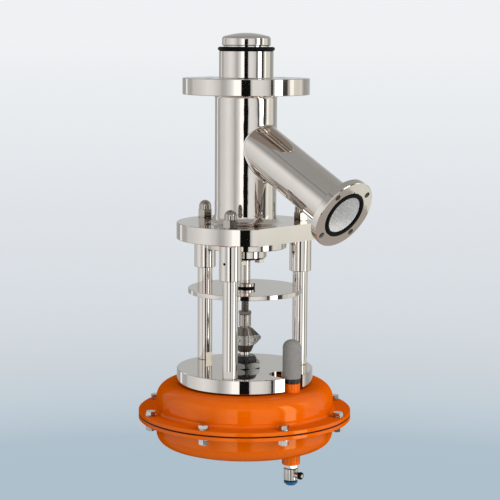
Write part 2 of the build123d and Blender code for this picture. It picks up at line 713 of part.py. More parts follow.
def make_dome_nut():
    """Closed nut with a round cap, screwed on the column's upper end."""
    radius = DOME_NUT_AF / 2 - DOME_NUT_INSET
    hex_part = hexagon(DOME_NUT_AF, BASE_TOP, BASE_TOP + DOME_NUT_HEX_H, DOME_NUT_TURN)
    cap_h = DOME_NUT_H - DOME_NUT_HEX_H
    cylinder_h = cap_h - radius + DOME_NUT_FLAT
    cap_base = BASE_TOP + DOME_NUT_HEX_H
    cap = rod(radius, cap_base, cap_base + cylinder_h)
    dome_low = cap_base + cylinder_h
    dome_h = cap_h - cylinder_h
    middle = cap_arc(radius, dome_low, dome_h)
    with BuildSketch(Plane.XZ) as section:
        with BuildLine():
            Line((0, dome_low + dome_h), (0, dome_low))
            Line((0, dome_low), (radius, dome_low))
            ThreePointArc((radius, dome_low), middle, (0, dome_low + dome_h))
        make_face()
    dome = revolve(section.sketch, Axis.Z)
    return hex_part + cap + dome - rod(COLUMN_SCREW_D / 2, BASE_TOP - 1, BASE_TOP + DOME_NUT_HEX_H)


def make_plate():
    """Round plate under the columns with a slot for the upper port."""
    plate = ring(PLATE_D / 2, HUB_D / 2 + SLEEVE_FIT, PLATE_BOTTOM, PLATE_TOP, EDGE)
    slot = rod(PLATE_SLOT_W / 2, PLATE_BOTTOM - 1, PLATE_TOP + 1)
    mouth = Box(PLATE_D, PLATE_SLOT_W, PLATE_T + 2, align=(Align.MIN, Align.CENTER, Align.MIN))
    plate = plate - Pos(PLATE_SLOT_CENTRE, 0, 0) * slot
    plate = plate - Pos(PLATE_SLOT_CENTRE, 0, PLATE_BOTTOM - 1) * mouth
    tapped = rod(COLUMN_SCREW_D / 2, PLATE_BOTTOM + COLUMN_FOOT, PLATE_TOP + 1)
    return drill(plate, around(tapped, COLUMN_RADIUS, COLUMN_ANGLES))


def make_guide_disc():
    """Thin disc that rides between the columns and marks the stroke."""
    disc = ring(DISC_D / 2, THREAD_D / 2, DISC_BOTTOM, DISC_TOP, SMALL_EDGE)
    notch = rod(COLUMN_D / 2 + DISC_NOTCH_GAP, DISC_BOTTOM - 1, DISC_TOP + 1)
    return drill(disc, around(notch, COLUMN_RADIUS, COLUMN_ANGLES))


def make_disc_washer():
    """Dark washer between the disc and its slotted nut."""
    return ring(DISC_WASHER_D / 2, THREAD_D / 2, DISC_TOP, DISC_TOP + DISC_WASHER_T)


def make_disc_nut():
    """Round nut with slots for a hook spanner."""
    low = DISC_TOP + DISC_WASHER_T
    nut = ring(DISC_NUT_D / 2, THREAD_D / 2, low, low + DISC_NUT_H, SMALL_EDGE)
    slot = Box(2 * DISC_NUT_SLOT_DEPTH, DISC_NUT_SLOT_W, DISC_NUT_H + 2)
    slot = Pos(0, 0, low + DISC_NUT_H / 2) * slot
    return drill(nut, around(slot, DISC_NUT_D / 2, spaced(DISC_NUT_SLOTS, DISC_NUT_TURN)))


def make_disc_lower_nut():
    """Hexagon nut that clamps the disc from below."""
    low = DISC_BOTTOM - STEM_NUT_H
    nut = hexagon(STEM_NUT_AF, low, DISC_BOTTOM, STEM_NUT_TURN)
    return nut - rod(THREAD_D / 2, low - 1, DISC_TOP)


def make_lock_nut():
    """Thin nut that locks the coupling link on the thread."""
    nut = hexagon(STEM_NUT_AF, LINK_TOP, LINK_TOP + LOCK_NUT_H, LOCK_NUT_TURN)
    return nut - rod(THREAD_D / 2, LINK_TOP - 1, DISC_TOP)


def make_link():
    """Polished link, screwed on the valve stem, with a head that the clamp holds."""
    radius = LINK_D / 2
    neck = LINK_NECK_D / 2
    head = LINK_HEAD_D / 2
    head_low = CLAMP_MIDDLE
    head_high = head_low + LINK_HEAD_H
    profile = [(0, head_low), (head, head_low), (head, head_high), (neck, head_high), (neck, LINK_BOTTOM)]
    profile += [(radius - EDGE, LINK_BOTTOM), (radius, LINK_BOTTOM + EDGE)]
    profile += [(radius, LINK_TOP - EDGE), (radius - EDGE, LINK_TOP), (0, LINK_TOP)]
    return turned(profile) - rod(THREAD_D / 2, LINK_TOP - LINK_THREAD_DEPTH, LINK_TOP + 1)


def make_actuator_stem():
    """Actuator stem from its head in the clamp down to the diaphragm."""
    head = LINK_HEAD_D / 2
    neck = LINK_NECK_D / 2
    radius = STEM_D / 2
    thread = THREAD_D / 2
    head_high = CLAMP_MIDDLE
    head_low = head_high - LINK_HEAD_H
    neck_low = head_low - LINK_HEAD_H / 2
    profile = [(0, STEM_END), (thread, STEM_END), (thread, PISTON_TOP), (radius, PISTON_TOP)]
    profile += [(radius, neck_low), (neck, neck_low), (neck, head_low), (head, head_low)]
    profile += [(head, head_high), (0, head_high)]
    return turned(profile)


def clamp_body():
    """Whole clamp before it is split: double cone with two pointed ears and the cavity."""
    end = CLAMP_END_D / 2
    wide = CLAMP_D / 2
    upper = CLAMP_TOP - CLAMP_CONE_H
    lower = CLAMP_BOTTOM + CLAMP_CONE_H
    cone = [(0, CLAMP_BOTTOM), (end, CLAMP_BOTTOM), (wide, lower), (wide, upper)]
    cone += [(end, CLAMP_TOP), (0, CLAMP_TOP)]
    shell = turned(cone)
    side = [(0, lower), (wide, lower), (CLAMP_EAR_R, lower + CLAMP_EAR_R - wide)]
    side += [(CLAMP_EAR_R, CLAMP_TOP - CLAMP_EAR_R + end), (end, CLAMP_TOP), (0, CLAMP_TOP)]
    outline = Polyline([(x, 0, z) for x, z in side], close=True)
    ear = extrude(make_face(outline), CLAMP_EAR_W / 2, dir=(0, 1, 0), both=True)
    body = shell + ear + Rot(0, 0, 180) * ear
    neck = LINK_NECK_D / 2 + CLAMP_FIT
    head = LINK_HEAD_D / 2 + CLAMP_FIT
    stem = STEM_D / 2 + CLAMP_FIT
    step = LINK_HEAD_H / 2
    body = body - rod(neck, CLAMP_MIDDLE, CLAMP_TOP + 1) - rod(neck, CLAMP_BOTTOM, CLAMP_MIDDLE)
    body = body - rod(head, CLAMP_MIDDLE - LINK_HEAD_H, CLAMP_MIDDLE + LINK_HEAD_H)
    return body - rod(stem, CLAMP_BOTTOM - 1, CLAMP_MIDDLE - LINK_HEAD_H - step)


def clamp_screw_places():
    """The two screws cross the ears square to the split."""
    return [Rot(0, 0, turn) * Pos(CLAMP_SCREW_R, 0, CLAMP_MIDDLE) * Rot(90, 0, 0) for turn in (0, 180)]


def make_clamp_half(side):
    """One half of the clamp; side is 1 or -1 across the split."""
    big = 4 * CLAMP_EAR_R
    keep = Pos(0, side * (CLAMP_SPLIT / 2 + big / 2), CLAMP_MIDDLE) * Box(big, big, 2 * CLAMP_H)
    half = clamp_body() & keep
    shank = rod(CLAMP_SCREW_D / 2, -CLAMP_EAR_W, CLAMP_EAR_W)
    head_low = CLAMP_EAR_W / 2 - CLAMP_SCREW_SINK
    head_room = rod(CLAMP_SCREW_HEAD_D / 2 + CLAMP_FIT, head_low, CLAMP_EAR_W)
    for place in clamp_screw_places():
        half = half - place * shank - place * head_room
    return Rot(0, 0, CLAMP_TURN) * half


def make_clamp_screws():
    """Two small socket screws that close the clamp."""
    low = -CLAMP_EAR_W / 2
    high = CLAMP_EAR_W / 2 - CLAMP_SCREW_SINK
    top = high + CLAMP_SCREW_HEAD_H
    head = ring(CLAMP_SCREW_HEAD_D / 2, 0, high, top, SMALL_EDGE)
    socket = extrude(RegularPolygon(CLAMP_SOCKET_AF / sqrt(3), 6), CLAMP_SOCKET_DEPTH + 1)
    screw = rod(CLAMP_SCREW_D / 2, low, high) + head
    screw = screw - Pos(0, 0, top - CLAMP_SOCKET_DEPTH) * socket
    return [Rot(0, 0, CLAMP_TURN) * place * screw for place in clamp_screw_places()]


def make_hub():
    """Turned hub: a thread through the plate, a thin flange and a boss inside the shell."""
    bore = HUB_BUSH_D / 2
    stem = STEM_D / 2 + STEM_CLEARANCE
    low = SHELL_TOP - HUB_BOSS_H
    profile = [(stem, low), (HUB_BOSS_D / 2, low)]
    profile += [(HUB_BOSS_D / 2, SHELL_TOP), (HUB_FLANGE_D / 2, SHELL_TOP)]
    profile += [(HUB_FLANGE_D / 2, PLATE_BOTTOM)]
    profile += [(HUB_D / 2, PLATE_BOTTOM), (HUB_D / 2, PLATE_TOP + PLATE_NUT_H)]
    profile += [(bore, PLATE_TOP + PLATE_NUT_H), (bore, low + HUB_FLOOR), (stem, low + HUB_FLOOR)]
    return turned(profile)


def make_hub_seal():
    """Rod seal at the foot of the hub's bore."""
    low = SHELL_TOP - HUB_BOSS_H + HUB_FLOOR
    return ring(HUB_BUSH_D / 2, STEM_D / 2 + RUNNING, low, low + HUB_SEAL_H)


def make_hub_bush():
    """Guide bush above the rod seal."""
    low = SHELL_TOP - HUB_BOSS_H + HUB_FLOOR + HUB_SEAL_H
    return ring(HUB_BUSH_D / 2, STEM_D / 2 + RUNNING, low, PLATE_TOP + PLATE_NUT_H)


def make_plate_nut():
    """Large thin nut that holds the plate on the actuator's hub."""
    nut = hexagon(PLATE_NUT_AF, PLATE_TOP, PLATE_TOP + PLATE_NUT_H, PLATE_NUT_TURN)
    return nut - rod(HUB_D / 2, PLATE_TOP - 1, PLATE_TOP + PLATE_NUT_H + 1)


def make_wiper():
    """Rubber wiper that keeps dirt off the actuator's stem."""
    low = PLATE_TOP + PLATE_NUT_H
    inner = STEM_D / 2 + RUNNING
    outer = WIPER_D / 2
    top = WIPER_TOP_D / 2
    high = low + WIPER_H
    profile = [(inner, low), (outer, low), (outer, low + WIPER_BAND), (top, high - WIPER_EDGE)]
    profile += [(top - WIPER_LIP, high), (inner, high)]
    return turned(profile)


def shell_profile(flange, end, height, shoulder):
    """Outline of a pressed shell: flange faces at height 0, its floor at the given height."""
    outer = SHELL_D / 2
    inner = outer - SHELL_WALL
    rim = RIM_D / 2
    bend = RIM_FILLET
    inside = max(shoulder - SHELL_WALL, 1.0)
    roof = height - SHELL_WALL
    with BuildSketch(Plane.XZ) as section:
        with BuildLine():
            Line((end, height), (end, roof))
            Line((end, roof), (inner - inside, roof))
            RadiusArc((inner - inside, roof), (inner, roof - inside), inside)
            Line((inner, roof - inside), (inner, -flange))
            Line((inner, -flange), (rim - EDGE, -flange))
            Line((rim - EDGE, -flange), (rim, EDGE - flange))
            Line((rim, EDGE - flange), (rim, -EDGE))
            Line((rim, -EDGE), (rim - EDGE, 0))
            Line((rim - EDGE, 0), (outer + bend, 0))
            RadiusArc((outer + bend, 0), (outer, bend), bend)
            Line((outer, bend), (outer, height - shoulder))
            RadiusArc((outer, height - shoulder), (outer - shoulder, height), -shoulder)
            Line((outer - shoulder, height), (end, height))
        make_face()
    return revolve(section.sketch, Axis.Z)


def make_shell(height, shoulder, hub_hole, boss_d, boss_h, bolt_angles):
    """One painted shell with its rim holes and its port boss, floor up, rim face at -RIM_T."""
    shell = shell_profile(RIM_T, hub_hole, height, shoulder)
    boss = Pos(PORT_RADIUS, 0, 0) * rod(boss_d / 2, height - SHELL_WALL, height + boss_h)
    boss = boss.fillet(BOSS_FILLET, boss.edges().group_by(Axis.Z)[-1])
    thread = Pos(PORT_RADIUS, 0, 0) * rod(PORT_THREAD_D / 2, -1, height + boss_h + 1)
    shell = shell + boss - thread
    hole = rod(RIM_BOLT_D / 2 + HOLE_GAP / 2, -RIM_T - 1, 1)
    return drill(shell, around(hole, RIM_BOLT_RADIUS, bolt_angles))


def make_upper_shell():
    """Upper shell, carried by the hub and drilled for the silencer."""
    hub = HUB_BOSS_D / 2
    cover = make_shell(UPPER_SHELL_H, UPPER_SHOULDER, hub, UPPER_BOSS_D, UPPER_BOSS_H, RIM_BOLT_ANGLES)
    return Pos(0, 0, RIM_TOP) * cover


def make_lower_shell():
    """Lower shell, a closed bowl turned upside down and drilled for the air fitting."""
    seen_from_below = [-angle for angle in RIM_BOLT_ANGLES]
    bowl = make_shell(LOWER_SHELL_H, LOWER_SHOULDER, 0, LOWER_BOSS_D, LOWER_BOSS_H, seen_from_below)
    return Pos(0, 0, RIM_BOTTOM) * Rot(180, 0, 0) * bowl


def make_rim_washers():
    """Washers under the bolt heads and under the nuts."""
    inner = RIM_BOLT_D / 2 + HOLE_GAP / 2
    upper = ring(WASHER_D / 2, inner, RIM_TOP, RIM_TOP + WASHER_T)
    lower = ring(WASHER_D / 2, inner, RIM_BOTTOM - WASHER_T, RIM_BOTTOM)
    pairs = [upper, lower]
    return [washer for part in pairs for washer in around(part, RIM_BOLT_RADIUS, RIM_BOLT_ANGLES)]


def make_rim_bolts():
    """Bolts that close the rim."""
    head_low = RIM_TOP + WASHER_T
    head = hexagon(RIM_BOLT_AF, head_low, head_low + RIM_BOLT_HEAD_H, RIM_BOLT_TURN)
    end = RIM_BOTTOM - WASHER_T - RIM_NUT_H - RIM_BOLT_END
    return around(head + rod(RIM_BOLT_D / 2, end, head_low), RIM_BOLT_RADIUS, RIM_BOLT_ANGLES)


def make_rim_nuts():
    """Nuts under the rim."""
    high = RIM_BOTTOM - WASHER_T
    low = high - RIM_NUT_H
    nut = hexagon(RIM_BOLT_AF, low, high, RIM_NUT_TURN) - rod(RIM_BOLT_D / 2, low - 1, high + 1)
    return around(nut, RIM_BOLT_RADIUS, RIM_BOLT_ANGLES)


def make_diaphragm():
    """Moulded rubber diaphragm: flat rim, one deep dish and a flat centre."""
    rim = RIM_D / 2 - DIAPHRAGM_INSET
    wall = SHELL_D / 2 - SHELL_WALL - ROLL_ROOM
    flat = PISTON_D / 2 + PISTON_ROOM
    top = DIAPHRAGM_TOP
    low = top - DIAPHRAGM_DISH
    t = DIAPHRAGM_T
    thread = THREAD_D / 2
    lower_bend = wall - ROLL_STEEP_W - ROLL_ROOM
    upper_bend = wall - ROLL_UPPER_W - ROLL_ROOM
    profile = [(thread, low - t), (flat, low - t), (lower_bend, top - t * 2.5), (wall, top - t)]
    profile += [(rim, top - t), (rim, top), (wall - ROLL_ROOM, top)]
    profile += [(upper_bend, top - t * 1.5), (flat, low), (thread, low)]
    diaphragm = turned(profile)
    hole = rod(RIM_BOLT_D / 2 + HOLE_GAP / 2, top - 3 * t, top + 1)
    return drill(diaphragm, around(hole, RIM_BOLT_RADIUS, RIM_BOLT_ANGLES))


def make_piston_plate():
    """Metal plate on the diaphragm that carries the springs, with a turned-up edge."""
    radius = PISTON_D / 2
    inner = radius - PISTON_LIP_T
    lip = PISTON_TOP + PISTON_LIP_H
    profile = [(THREAD_D / 2, PISTON_BOTTOM), (radius, PISTON_BOTTOM), (radius, lip)]
    profile += [(inner, lip), (inner, PISTON_TOP), (THREAD_D / 2, PISTON_TOP)]
    return turned(profile)


def make_backing_plate():
    """Plate under the diaphragm's centre."""
    return ring(BACKING_D / 2, THREAD_D / 2, BACKING_BOTTOM, BACKING_TOP, EDGE)


def make_piston_nut():
    """Nut that clamps the diaphragm between its plates."""
    nut = hexagon(PISTON_NUT_AF, BACKING_BOTTOM - PISTON_NUT_H, BACKING_BOTTOM)
    return nut - rod(THREAD_D / 2, STEM_END - 1, BACKING_TOP)


def make_spring(mean_d, wire_d, turns):
    """Coil spring between the shell's roof and the piston plate."""
    low = PISTON_TOP + wire_d / 2
    high = SHELL_TOP - SHELL_WALL - wire_d / 2
    path = Helix(pitch=(high - low) / turns, height=high - low, radius=mean_d / 2)
    section = Plane(origin=path @ 0, z_dir=path % 0) * Circle(wire_d / 2)
    return Pos(0, 0, low) * sweep(section, path=path, is_frenet=True)


def make_silencer():
    """Round-topped porous silencer."""
    radius = SILENCER_D / 2
    low = UPPER_BOSS_TOP + SILENCER_COLLAR_H
    body = rod(radius, low, low + SILENCER_H)
    top = body.edges().group_by(Axis.Z)[-1]
    body = body.fillet(SILENCER_ROUND, top)
    return body.chamfer(SILENCER_FOOT, None, body.edges().group_by(Axis.Z)[0])


def make_silencer_collar():
    """Collar of the silencer with the nipple that screws into the boss."""
    end = UPPER_BOSS_TOP - NIPPLE_L
    high = UPPER_BOSS_TOP + SILENCER_COLLAR_H
    collar = ring(SILENCER_COLLAR_D / 2, 0, UPPER_BOSS_TOP, high, COLLAR_EDGE)
    collar = collar + rod(PORT_THREAD_D / 2, end, UPPER_BOSS_TOP)
    return collar - rod(PORT_THREAD_D / 2 - PORT_WALL, end - 1, high + 1)


def fitting_heights():
    """Top of the hexagon, top of the round body, and the body's lower face."""
    hex_low = LOWER_BOSS_BOTTOM - FITTING_HEX_H
    return LOWER_BOSS_BOTTOM, hex_low, hex_low - FITTING_BODY_H


def make_fitting_stud():
    """Hexagon stud that screws into the boss; the fitting's body snaps on and turns round it."""
    high, hex_low, _ = fitting_heights()
    stud = STUD_D / 2
    end = hex_low - STUD_L
    snap = ring(stud + STUD_SNAP, 0, end, end + STUD_SNAP_H, STUD_SNAP_EDGE)
    solid = hexagon(FITTING_HEX_AF, hex_low, high, FITTING_HEX_TURN)
    solid = solid + rod(PORT_THREAD_D / 2, high, high + NIPPLE_L)
    solid = solid + rod(stud, end, hex_low) + snap
    return solid - rod(PORT_THREAD_D / 2 - PORT_WALL, end - 1, high + NIPPLE_L + 1)


def make_fitting_body():
    """Round body with a socket for the stud, a bore for the tube, and a side arm."""
    _, hex_low, low = fitting_heights()
    top = hex_low - STUD_GAP
    stud = STUD_D / 2 + RUNNING
    end = hex_low - STUD_L - STUD_GAP
    arm_z = (hex_low + low) / 2
    body = ring(FITTING_BODY_D / 2, 0, low, top, FITTING_SHOULDER)
    body = body + Pos(0, 0, arm_z) * Rot(0, 90, 0) * rod(ARM_D / 2, 0, ARM_REACH)
    body = body - rod(stud, end, top + 1)
    body = body - rod(stud + STUD_SNAP, end, end + STUD_SNAP_H + 2 * STUD_GAP)
    body = body - rod(PORT_THREAD_D / 2 - PORT_WALL, low + RELEASE_SKIRT_H, end + 1)
    body = body - rod(FITTING_BORE_D / 2, low - 1, low + RELEASE_SKIRT_H + RELEASE_TRAVEL)
    body = body - rod(TUBE_PORT_D / 2, low - 1, low + TUBE_PORT_DEPTH)
    seat = ARM_REACH - FLOW_SCREW_DEPTH - FLOW_SCREW_ROOM
    needle = rod(FLOW_SCREW_D / 2 + RUNNING, seat, ARM_REACH + 1)
    return body - Pos(0, 0, arm_z) * Rot(0, 90, 0) * needle


def make_arm_nut():
    """Dark lock ring on the arm's end."""
    _, hex_low, low = fitting_heights()
    bore = FLOW_SCREW_D / 2 + RUNNING
    nut = ring(ARM_NUT_D / 2, bore, ARM_REACH, ARM_REACH + ARM_NUT_L, SMALL_EDGE)
    return Pos(0, 0, (hex_low + low) / 2) * Rot(0, 90, 0) * nut


def make_flow_screw():
    """Slotted screw that throttles the air."""
    _, hex_low, low = fitting_heights()
    end = ARM_REACH + ARM_NUT_L + FLOW_SCREW_PROUD
    screw = rod(FLOW_SCREW_D / 2, ARM_REACH - FLOW_SCREW_DEPTH, end)
    screw = screw - Pos(0, 0, end) * Box(FLOW_SLOT_W, FLOW_SCREW_D + 2, 2 * FLOW_SLOT_DEPTH)
    return Pos(0, 0, (hex_low + low) / 2) * Rot(0, 90, 0) * screw


def make_release_collar():
    """Blue push ring round the tube's bore, with a skirt that runs inside the fitting."""
    _, _, low = fitting_heights()
    inner = TUBE_PORT_D / 2
    skirt = FITTING_BORE_D / 2 - RUNNING
    face = low - RELEASE_TRAVEL - RELEASE_FACE_GAP
    tip = face - RELEASE_H
    high = low + RELEASE_SKIRT_H - RELEASE_INNER_GAP
    profile = [(inner, tip), (RELEASE_TIP_D / 2, tip), (RELEASE_D / 2, tip + RELEASE_CONE_H)]
    profile += [(RELEASE_D / 2, face), (skirt, face), (skirt, high), (inner, high)]
    return turned(profile)


def main():
    os.makedirs("parts", exist_ok=True)
    save("tank_flange", make_tank_flange())
    save("body_tube", make_body_tube())
    save("outlet_tube", make_outlet_tube())
    save("outlet_flange", make_outlet_flange())
    save("outlet_gasket", make_outlet_gasket())
    save("base_flange", make_base_flange())
    save("seat_ring", make_seat_ring())
    save("plug", make_plug())
    save("valve_stem", make_valve_stem())
    save("seal_cartridge", make_seal_cartridge())
    save("cartridge_orings", *make_cartridge_orings())
    save("stem_lip_seal", make_lip_seal())
    save("stem_guide_bush", make_guide_bush())
    save("packing_rings", *make_packing_rings())
    save("bonnet", make_bonnet())
    save("bonnet_screws", *make_bonnet_screws())
    save("gland", make_gland())
    save("gland_washers", *make_gland_washers())
    save("gland_bolts", *make_gland_bolts())
    column_names = ("rear", "front", "side")
    for name, angle in zip(column_names, COLUMN_ANGLES):
        save(f"column_{name}", *around(make_column(), COLUMN_RADIUS, [angle]))
        save(f"stop_sleeve_{name}", *around(make_sleeve(), COLUMN_RADIUS, [angle]))
    save("dome_nuts", *around(make_dome_nut(), COLUMN_RADIUS, COLUMN_ANGLES))
    save("yoke_plate", make_plate())
    save("guide_disc", make_guide_disc())
    save("disc_washer", make_disc_washer())
    save("disc_slotted_nut", make_disc_nut())
    save("disc_lower_nut", make_disc_lower_nut())
    save("coupling_lock_nut", make_lock_nut())
    save("coupling_link", make_link())
    save("coupling_half_front", make_clamp_half(-1))
    save("coupling_half_rear", make_clamp_half(1))
    save("coupling_screws", *make_clamp_screws())
    save("actuator_stem", make_actuator_stem())
    save("actuator_hub", make_hub())
    save("hub_rod_seal", make_hub_seal())
    save("hub_guide_bush", make_hub_bush())
    save("plate_nut", make_plate_nut())
    save("stem_wiper", make_wiper())
    save("upper_shell", make_upper_shell())
    save("lower_shell", make_lower_shell())
    save("rim_washers", *make_rim_washers())
    save("rim_bolts", *make_rim_bolts())
    save("rim_nuts", *make_rim_nuts())
    save("diaphragm", make_diaphragm())
    save("piston_plate", make_piston_plate())
    save("backing_plate", make_backing_plate())
    save("piston_nut", make_piston_nut())
    save("outer_spring", make_spring(OUTER_SPRING_D, OUTER_WIRE_D, OUTER_TURNS))
    save("inner_spring", make_spring(INNER_SPRING_D, INNER_WIRE_D, INNER_TURNS))
    port = Pos(PORT_RADIUS, 0, 0)
    save("silencer", port * make_silencer())
    save("silencer_collar", port * make_silencer_collar())
    save("fitting_stud", port * make_fitting_stud())
    save("fitting_body", port * make_fitting_body())
    save("fitting_arm_nut", port * make_arm_nut())
    save("flow_screw", port * make_flow_screw())
    save("release_collar", port * make_release_collar())


main()
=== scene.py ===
# %% [markdown]
# # A polished tank bottom valve with an orange actuator
# The valve hangs under a tank: a domed plug on a short spigot, a slanted outlet,
# three polished columns, and a round diaphragm actuator painted orange. Its solids
# are already exact, so this lesson adds what a camera sees: the light tent that
# polished steel mirrors, the finishes, the weld at the outlet and a few screw threads.

import bmesh
import bpy
import numpy as np
from mathutils import Matrix, Vector


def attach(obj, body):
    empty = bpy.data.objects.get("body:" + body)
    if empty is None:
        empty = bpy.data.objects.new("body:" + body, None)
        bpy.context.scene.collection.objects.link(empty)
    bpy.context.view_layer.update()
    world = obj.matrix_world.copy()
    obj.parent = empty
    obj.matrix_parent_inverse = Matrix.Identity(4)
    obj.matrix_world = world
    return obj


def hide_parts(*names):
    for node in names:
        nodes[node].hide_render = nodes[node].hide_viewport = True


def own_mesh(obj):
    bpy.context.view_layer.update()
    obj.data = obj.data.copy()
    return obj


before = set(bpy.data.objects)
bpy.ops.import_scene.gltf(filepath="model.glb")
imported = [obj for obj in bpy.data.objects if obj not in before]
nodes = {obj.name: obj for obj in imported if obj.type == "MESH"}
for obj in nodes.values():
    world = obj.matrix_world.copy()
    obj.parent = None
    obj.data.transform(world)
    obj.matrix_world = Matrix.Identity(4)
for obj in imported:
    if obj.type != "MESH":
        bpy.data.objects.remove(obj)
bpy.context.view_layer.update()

# %% [markdown]
# ## The camera
# A long lens far away keeps the columns nearly parallel, as in a catalogue picture.
# The camera could track an empty, but four plain numbers (turn, distance, height and
# dip) are easier to read and to correct. The small yaw and roll are what is left over
# when the picture's edges don't quite square up with the valve.

# %% Place the camera
TURN = np.radians(44.4)
DISTANCE = 2.23688
HEIGHT = 0.050493
DIP = np.radians(7.593)
YAW = np.radians(0.173)
ROLL = np.radians(0.324)
LENS = 112.236
SENSOR_WIDTH = 36.0
SIGHT_END = 1000.0

back = np.array([np.sin(TURN), -np.cos(TURN), 0.0])
right = np.array([np.cos(TURN), np.sin(TURN), 0.0])
up = np.array([0.0, 0.0, 1.0])


def turned_pair(first, second, angle):
    """Two unit vectors turned towards each other: first*cos + second*sin and second*cos - first*sin."""
    return (first * np.cos(angle) + second * np.sin(angle),
            second * np.cos(angle) - first * np.sin(angle))


ahead, across = turned_pair(-back, right, YAW)
ahead, lifted = turned_pair(ahead, -up, DIP)
across, lifted = turned_pair(across, -lifted, ROLL)
eye = back * DISTANCE + up * HEIGHT

camera = bpy.data.objects.new("camera", bpy.data.cameras.new("camera"))
camera.data.lens = LENS
camera.data.sensor_width = SENSOR_WIDTH
camera.data.clip_end = SIGHT_END
axes = np.column_stack([across, lifted, -ahead, eye])
camera.matrix_world = Matrix([list(row) for row in axes] + [[0, 0, 0, 1]])
bpy.context.collection.objects.link(camera)
bpy.context.scene.camera = camera
print("camera at", np.round(eye, 3), "looking along", np.round(ahead, 3))

# %% [markdown]
# ## Surfaces from arrays
# Every new surface here is a grid of points worked out at once with numpy. It could
# be modelled by hand, but a formula ties it to the solid that it sits on. A grid that
# closes on itself both ways is a ring or a sleeve; one that closes one way is a wall.
# One helper turns any such grid into a mesh.

# %% Grid to mesh
MERGE_WITHIN = 1e-7


def merge_doubles(mesh):
    """Joins the points of a mesh that lie in one place."""
    shape = bmesh.new()
    shape.from_mesh(mesh)
    bmesh.ops.remove_doubles(shape, verts=shape.verts, dist=MERGE_WITHIN)
    shape.to_mesh(mesh)
    shape.free()


def grid_mesh(name, points, close_rows=False, close_columns=False, poles=False):
    """Object of quads over a grid of points; a closed side joins its last line to its first."""
    rows, columns = points.shape[:2]
    r = np.arange(rows if close_rows else rows - 1)
    c = np.arange(columns if close_columns else columns - 1)
    r, c = np.meshgrid(r, c, indexing="ij")
    r2, c2 = (r + 1) % rows, (c + 1) % columns
    quads = np.stack([r * columns + c, r * columns + c2, r2 * columns + c2, r2 * columns + c], axis=-1)
    mesh = bpy.data.meshes.new(name)
    mesh.from_pydata(points.reshape(-1, 3).tolist(), [], quads.reshape(-1, 4).tolist())
    if poles:
        merge_doubles(mesh)
    mesh.shade_smooth()
    thing = bpy.data.objects.new(name, mesh)
    bpy.context.collection.objects.link(thing)
    return thing


def outward(points):
    """The grid, its columns reversed where needed, so that its enclosed volume counts as positive."""
    nxt_r, nxt_c = np.roll(points, -1, axis=0), np.roll(points, -1, axis=1)
    volume = (np.cross(nxt_c - points, nxt_r - points) * (points - points.mean((0, 1)))).sum()
    return points if volume > 0 else points[:, ::-1]


print("grid helpers ready, points merge within", MERGE_WITHIN, "m")

# %% [markdown]
# ## Reading a colour
# Paint charts and screens give colours in sRGB, while a shader wants linear light.
# The helper below converts once, so every finish can be written as it looks.

# %% Colour helper
def seen(red, green, blue):
    """Linear colour of an sRGB one in 0..255: ((c + 0.055) / 1.055) ** 2.4, or c / 12.92 when dark."""
    c = np.array([red, green, blue]) / 255.0
    linear = np.where(c <= 0.04045, c / 12.92, ((c + 0.055) / 1.055) ** 2.4)
    return (*linear.tolist(), 1.0)


print("mid grey is", round(seen(128, 128, 128)[0], 3), "in linear light")

# %% [markdown]
# ## Small tools for shader trees
# Node trees grow long when each link is written out. They could be drawn by hand in
# the editor, but then they would not be here to read. `Tree` keeps a tree and adds a
# node with its values and links in one call: a value that is a socket is linked, and
# any other value is typed into the socket.

# %% Node helper
class Tree:
    """A node tree that adds nodes one call at a time."""

    def __init__(self, tree):
        self.tree = tree

    def feed(self, socket, value):
        """Links a value that is a socket, and types in any other."""
        if isinstance(value, bpy.types.NodeSocket):
            self.tree.links.new(value, socket)
        else:
            socket.default_value = value

    def add(self, kind, inputs=None, **settings):
        """New node with settings on it and inputs by socket name or number; returns the node."""
        node = self.tree.nodes.new("ShaderNode" + kind)
        for key, value in settings.items():
            setattr(node, key, value)
        for key, value in (inputs or {}).items():
            self.feed(node.inputs[key], value)
        return node

    def math(self, operation, a, b=0.0, clamp=False):
        """Output of one math node."""
        return self.add("Math", {0: a, 1: b}, operation=operation, use_clamp=clamp).outputs[0]

    def span(self, value, low, high, to_low=0.0, to_high=1.0):
        """The value carried from low..high to to_low..to_high, held at both ends."""
        ends = {"Value": value, "From Min": low, "From Max": high, "To Min": to_low, "To Max": to_high}
        return self.add("MapRange", ends).outputs[0]

    def mix(self, share, first, second):
        """Colour between first and second."""
        return self.add("Mix", {0: share, 6: first, 7: second}, data_type="RGBA").outputs[2]

    def noise(self, place, scale, detail=2.0, **more):
        """Height of a noise texture read at a place; more are other sockets of the node."""
        sockets = {"Vector": place, "Scale": scale, "Detail": detail, **more}
        return self.add("TexNoise", sockets).outputs[0]

    def from_axis(self, part):
        """Distance from the Z axis of a place split into its parts: sqrt(x * x + y * y)."""
        squares = [self.math("MULTIPLY", part[side], part[side]) for side in "XY"]
        return self.math("SQRT", self.math("ADD", *squares))


def fresh_material(name):
    """Empty material with its tree and its output node."""
    material = bpy.data.materials.new(name)
    material.use_nodes = True
    material.node_tree.nodes.clear()
    tree = Tree(material.node_tree)
    return material, tree, tree.add("OutputMaterial")


print("shader helpers ready")

# %% [markdown]
# ## The floor and the sky
# The valve is held in the air, so the floor is one big pale disc well below it, and
# it fades with distance from blue-grey to nearly white. The fade could be a curved
# paper sweep, but a colour that depends only on the distance from the valve looks the
# same from every side.

# %% Floor disc
FLOOR_Z = -0.9
FLOOR_RADIUS = 500.0

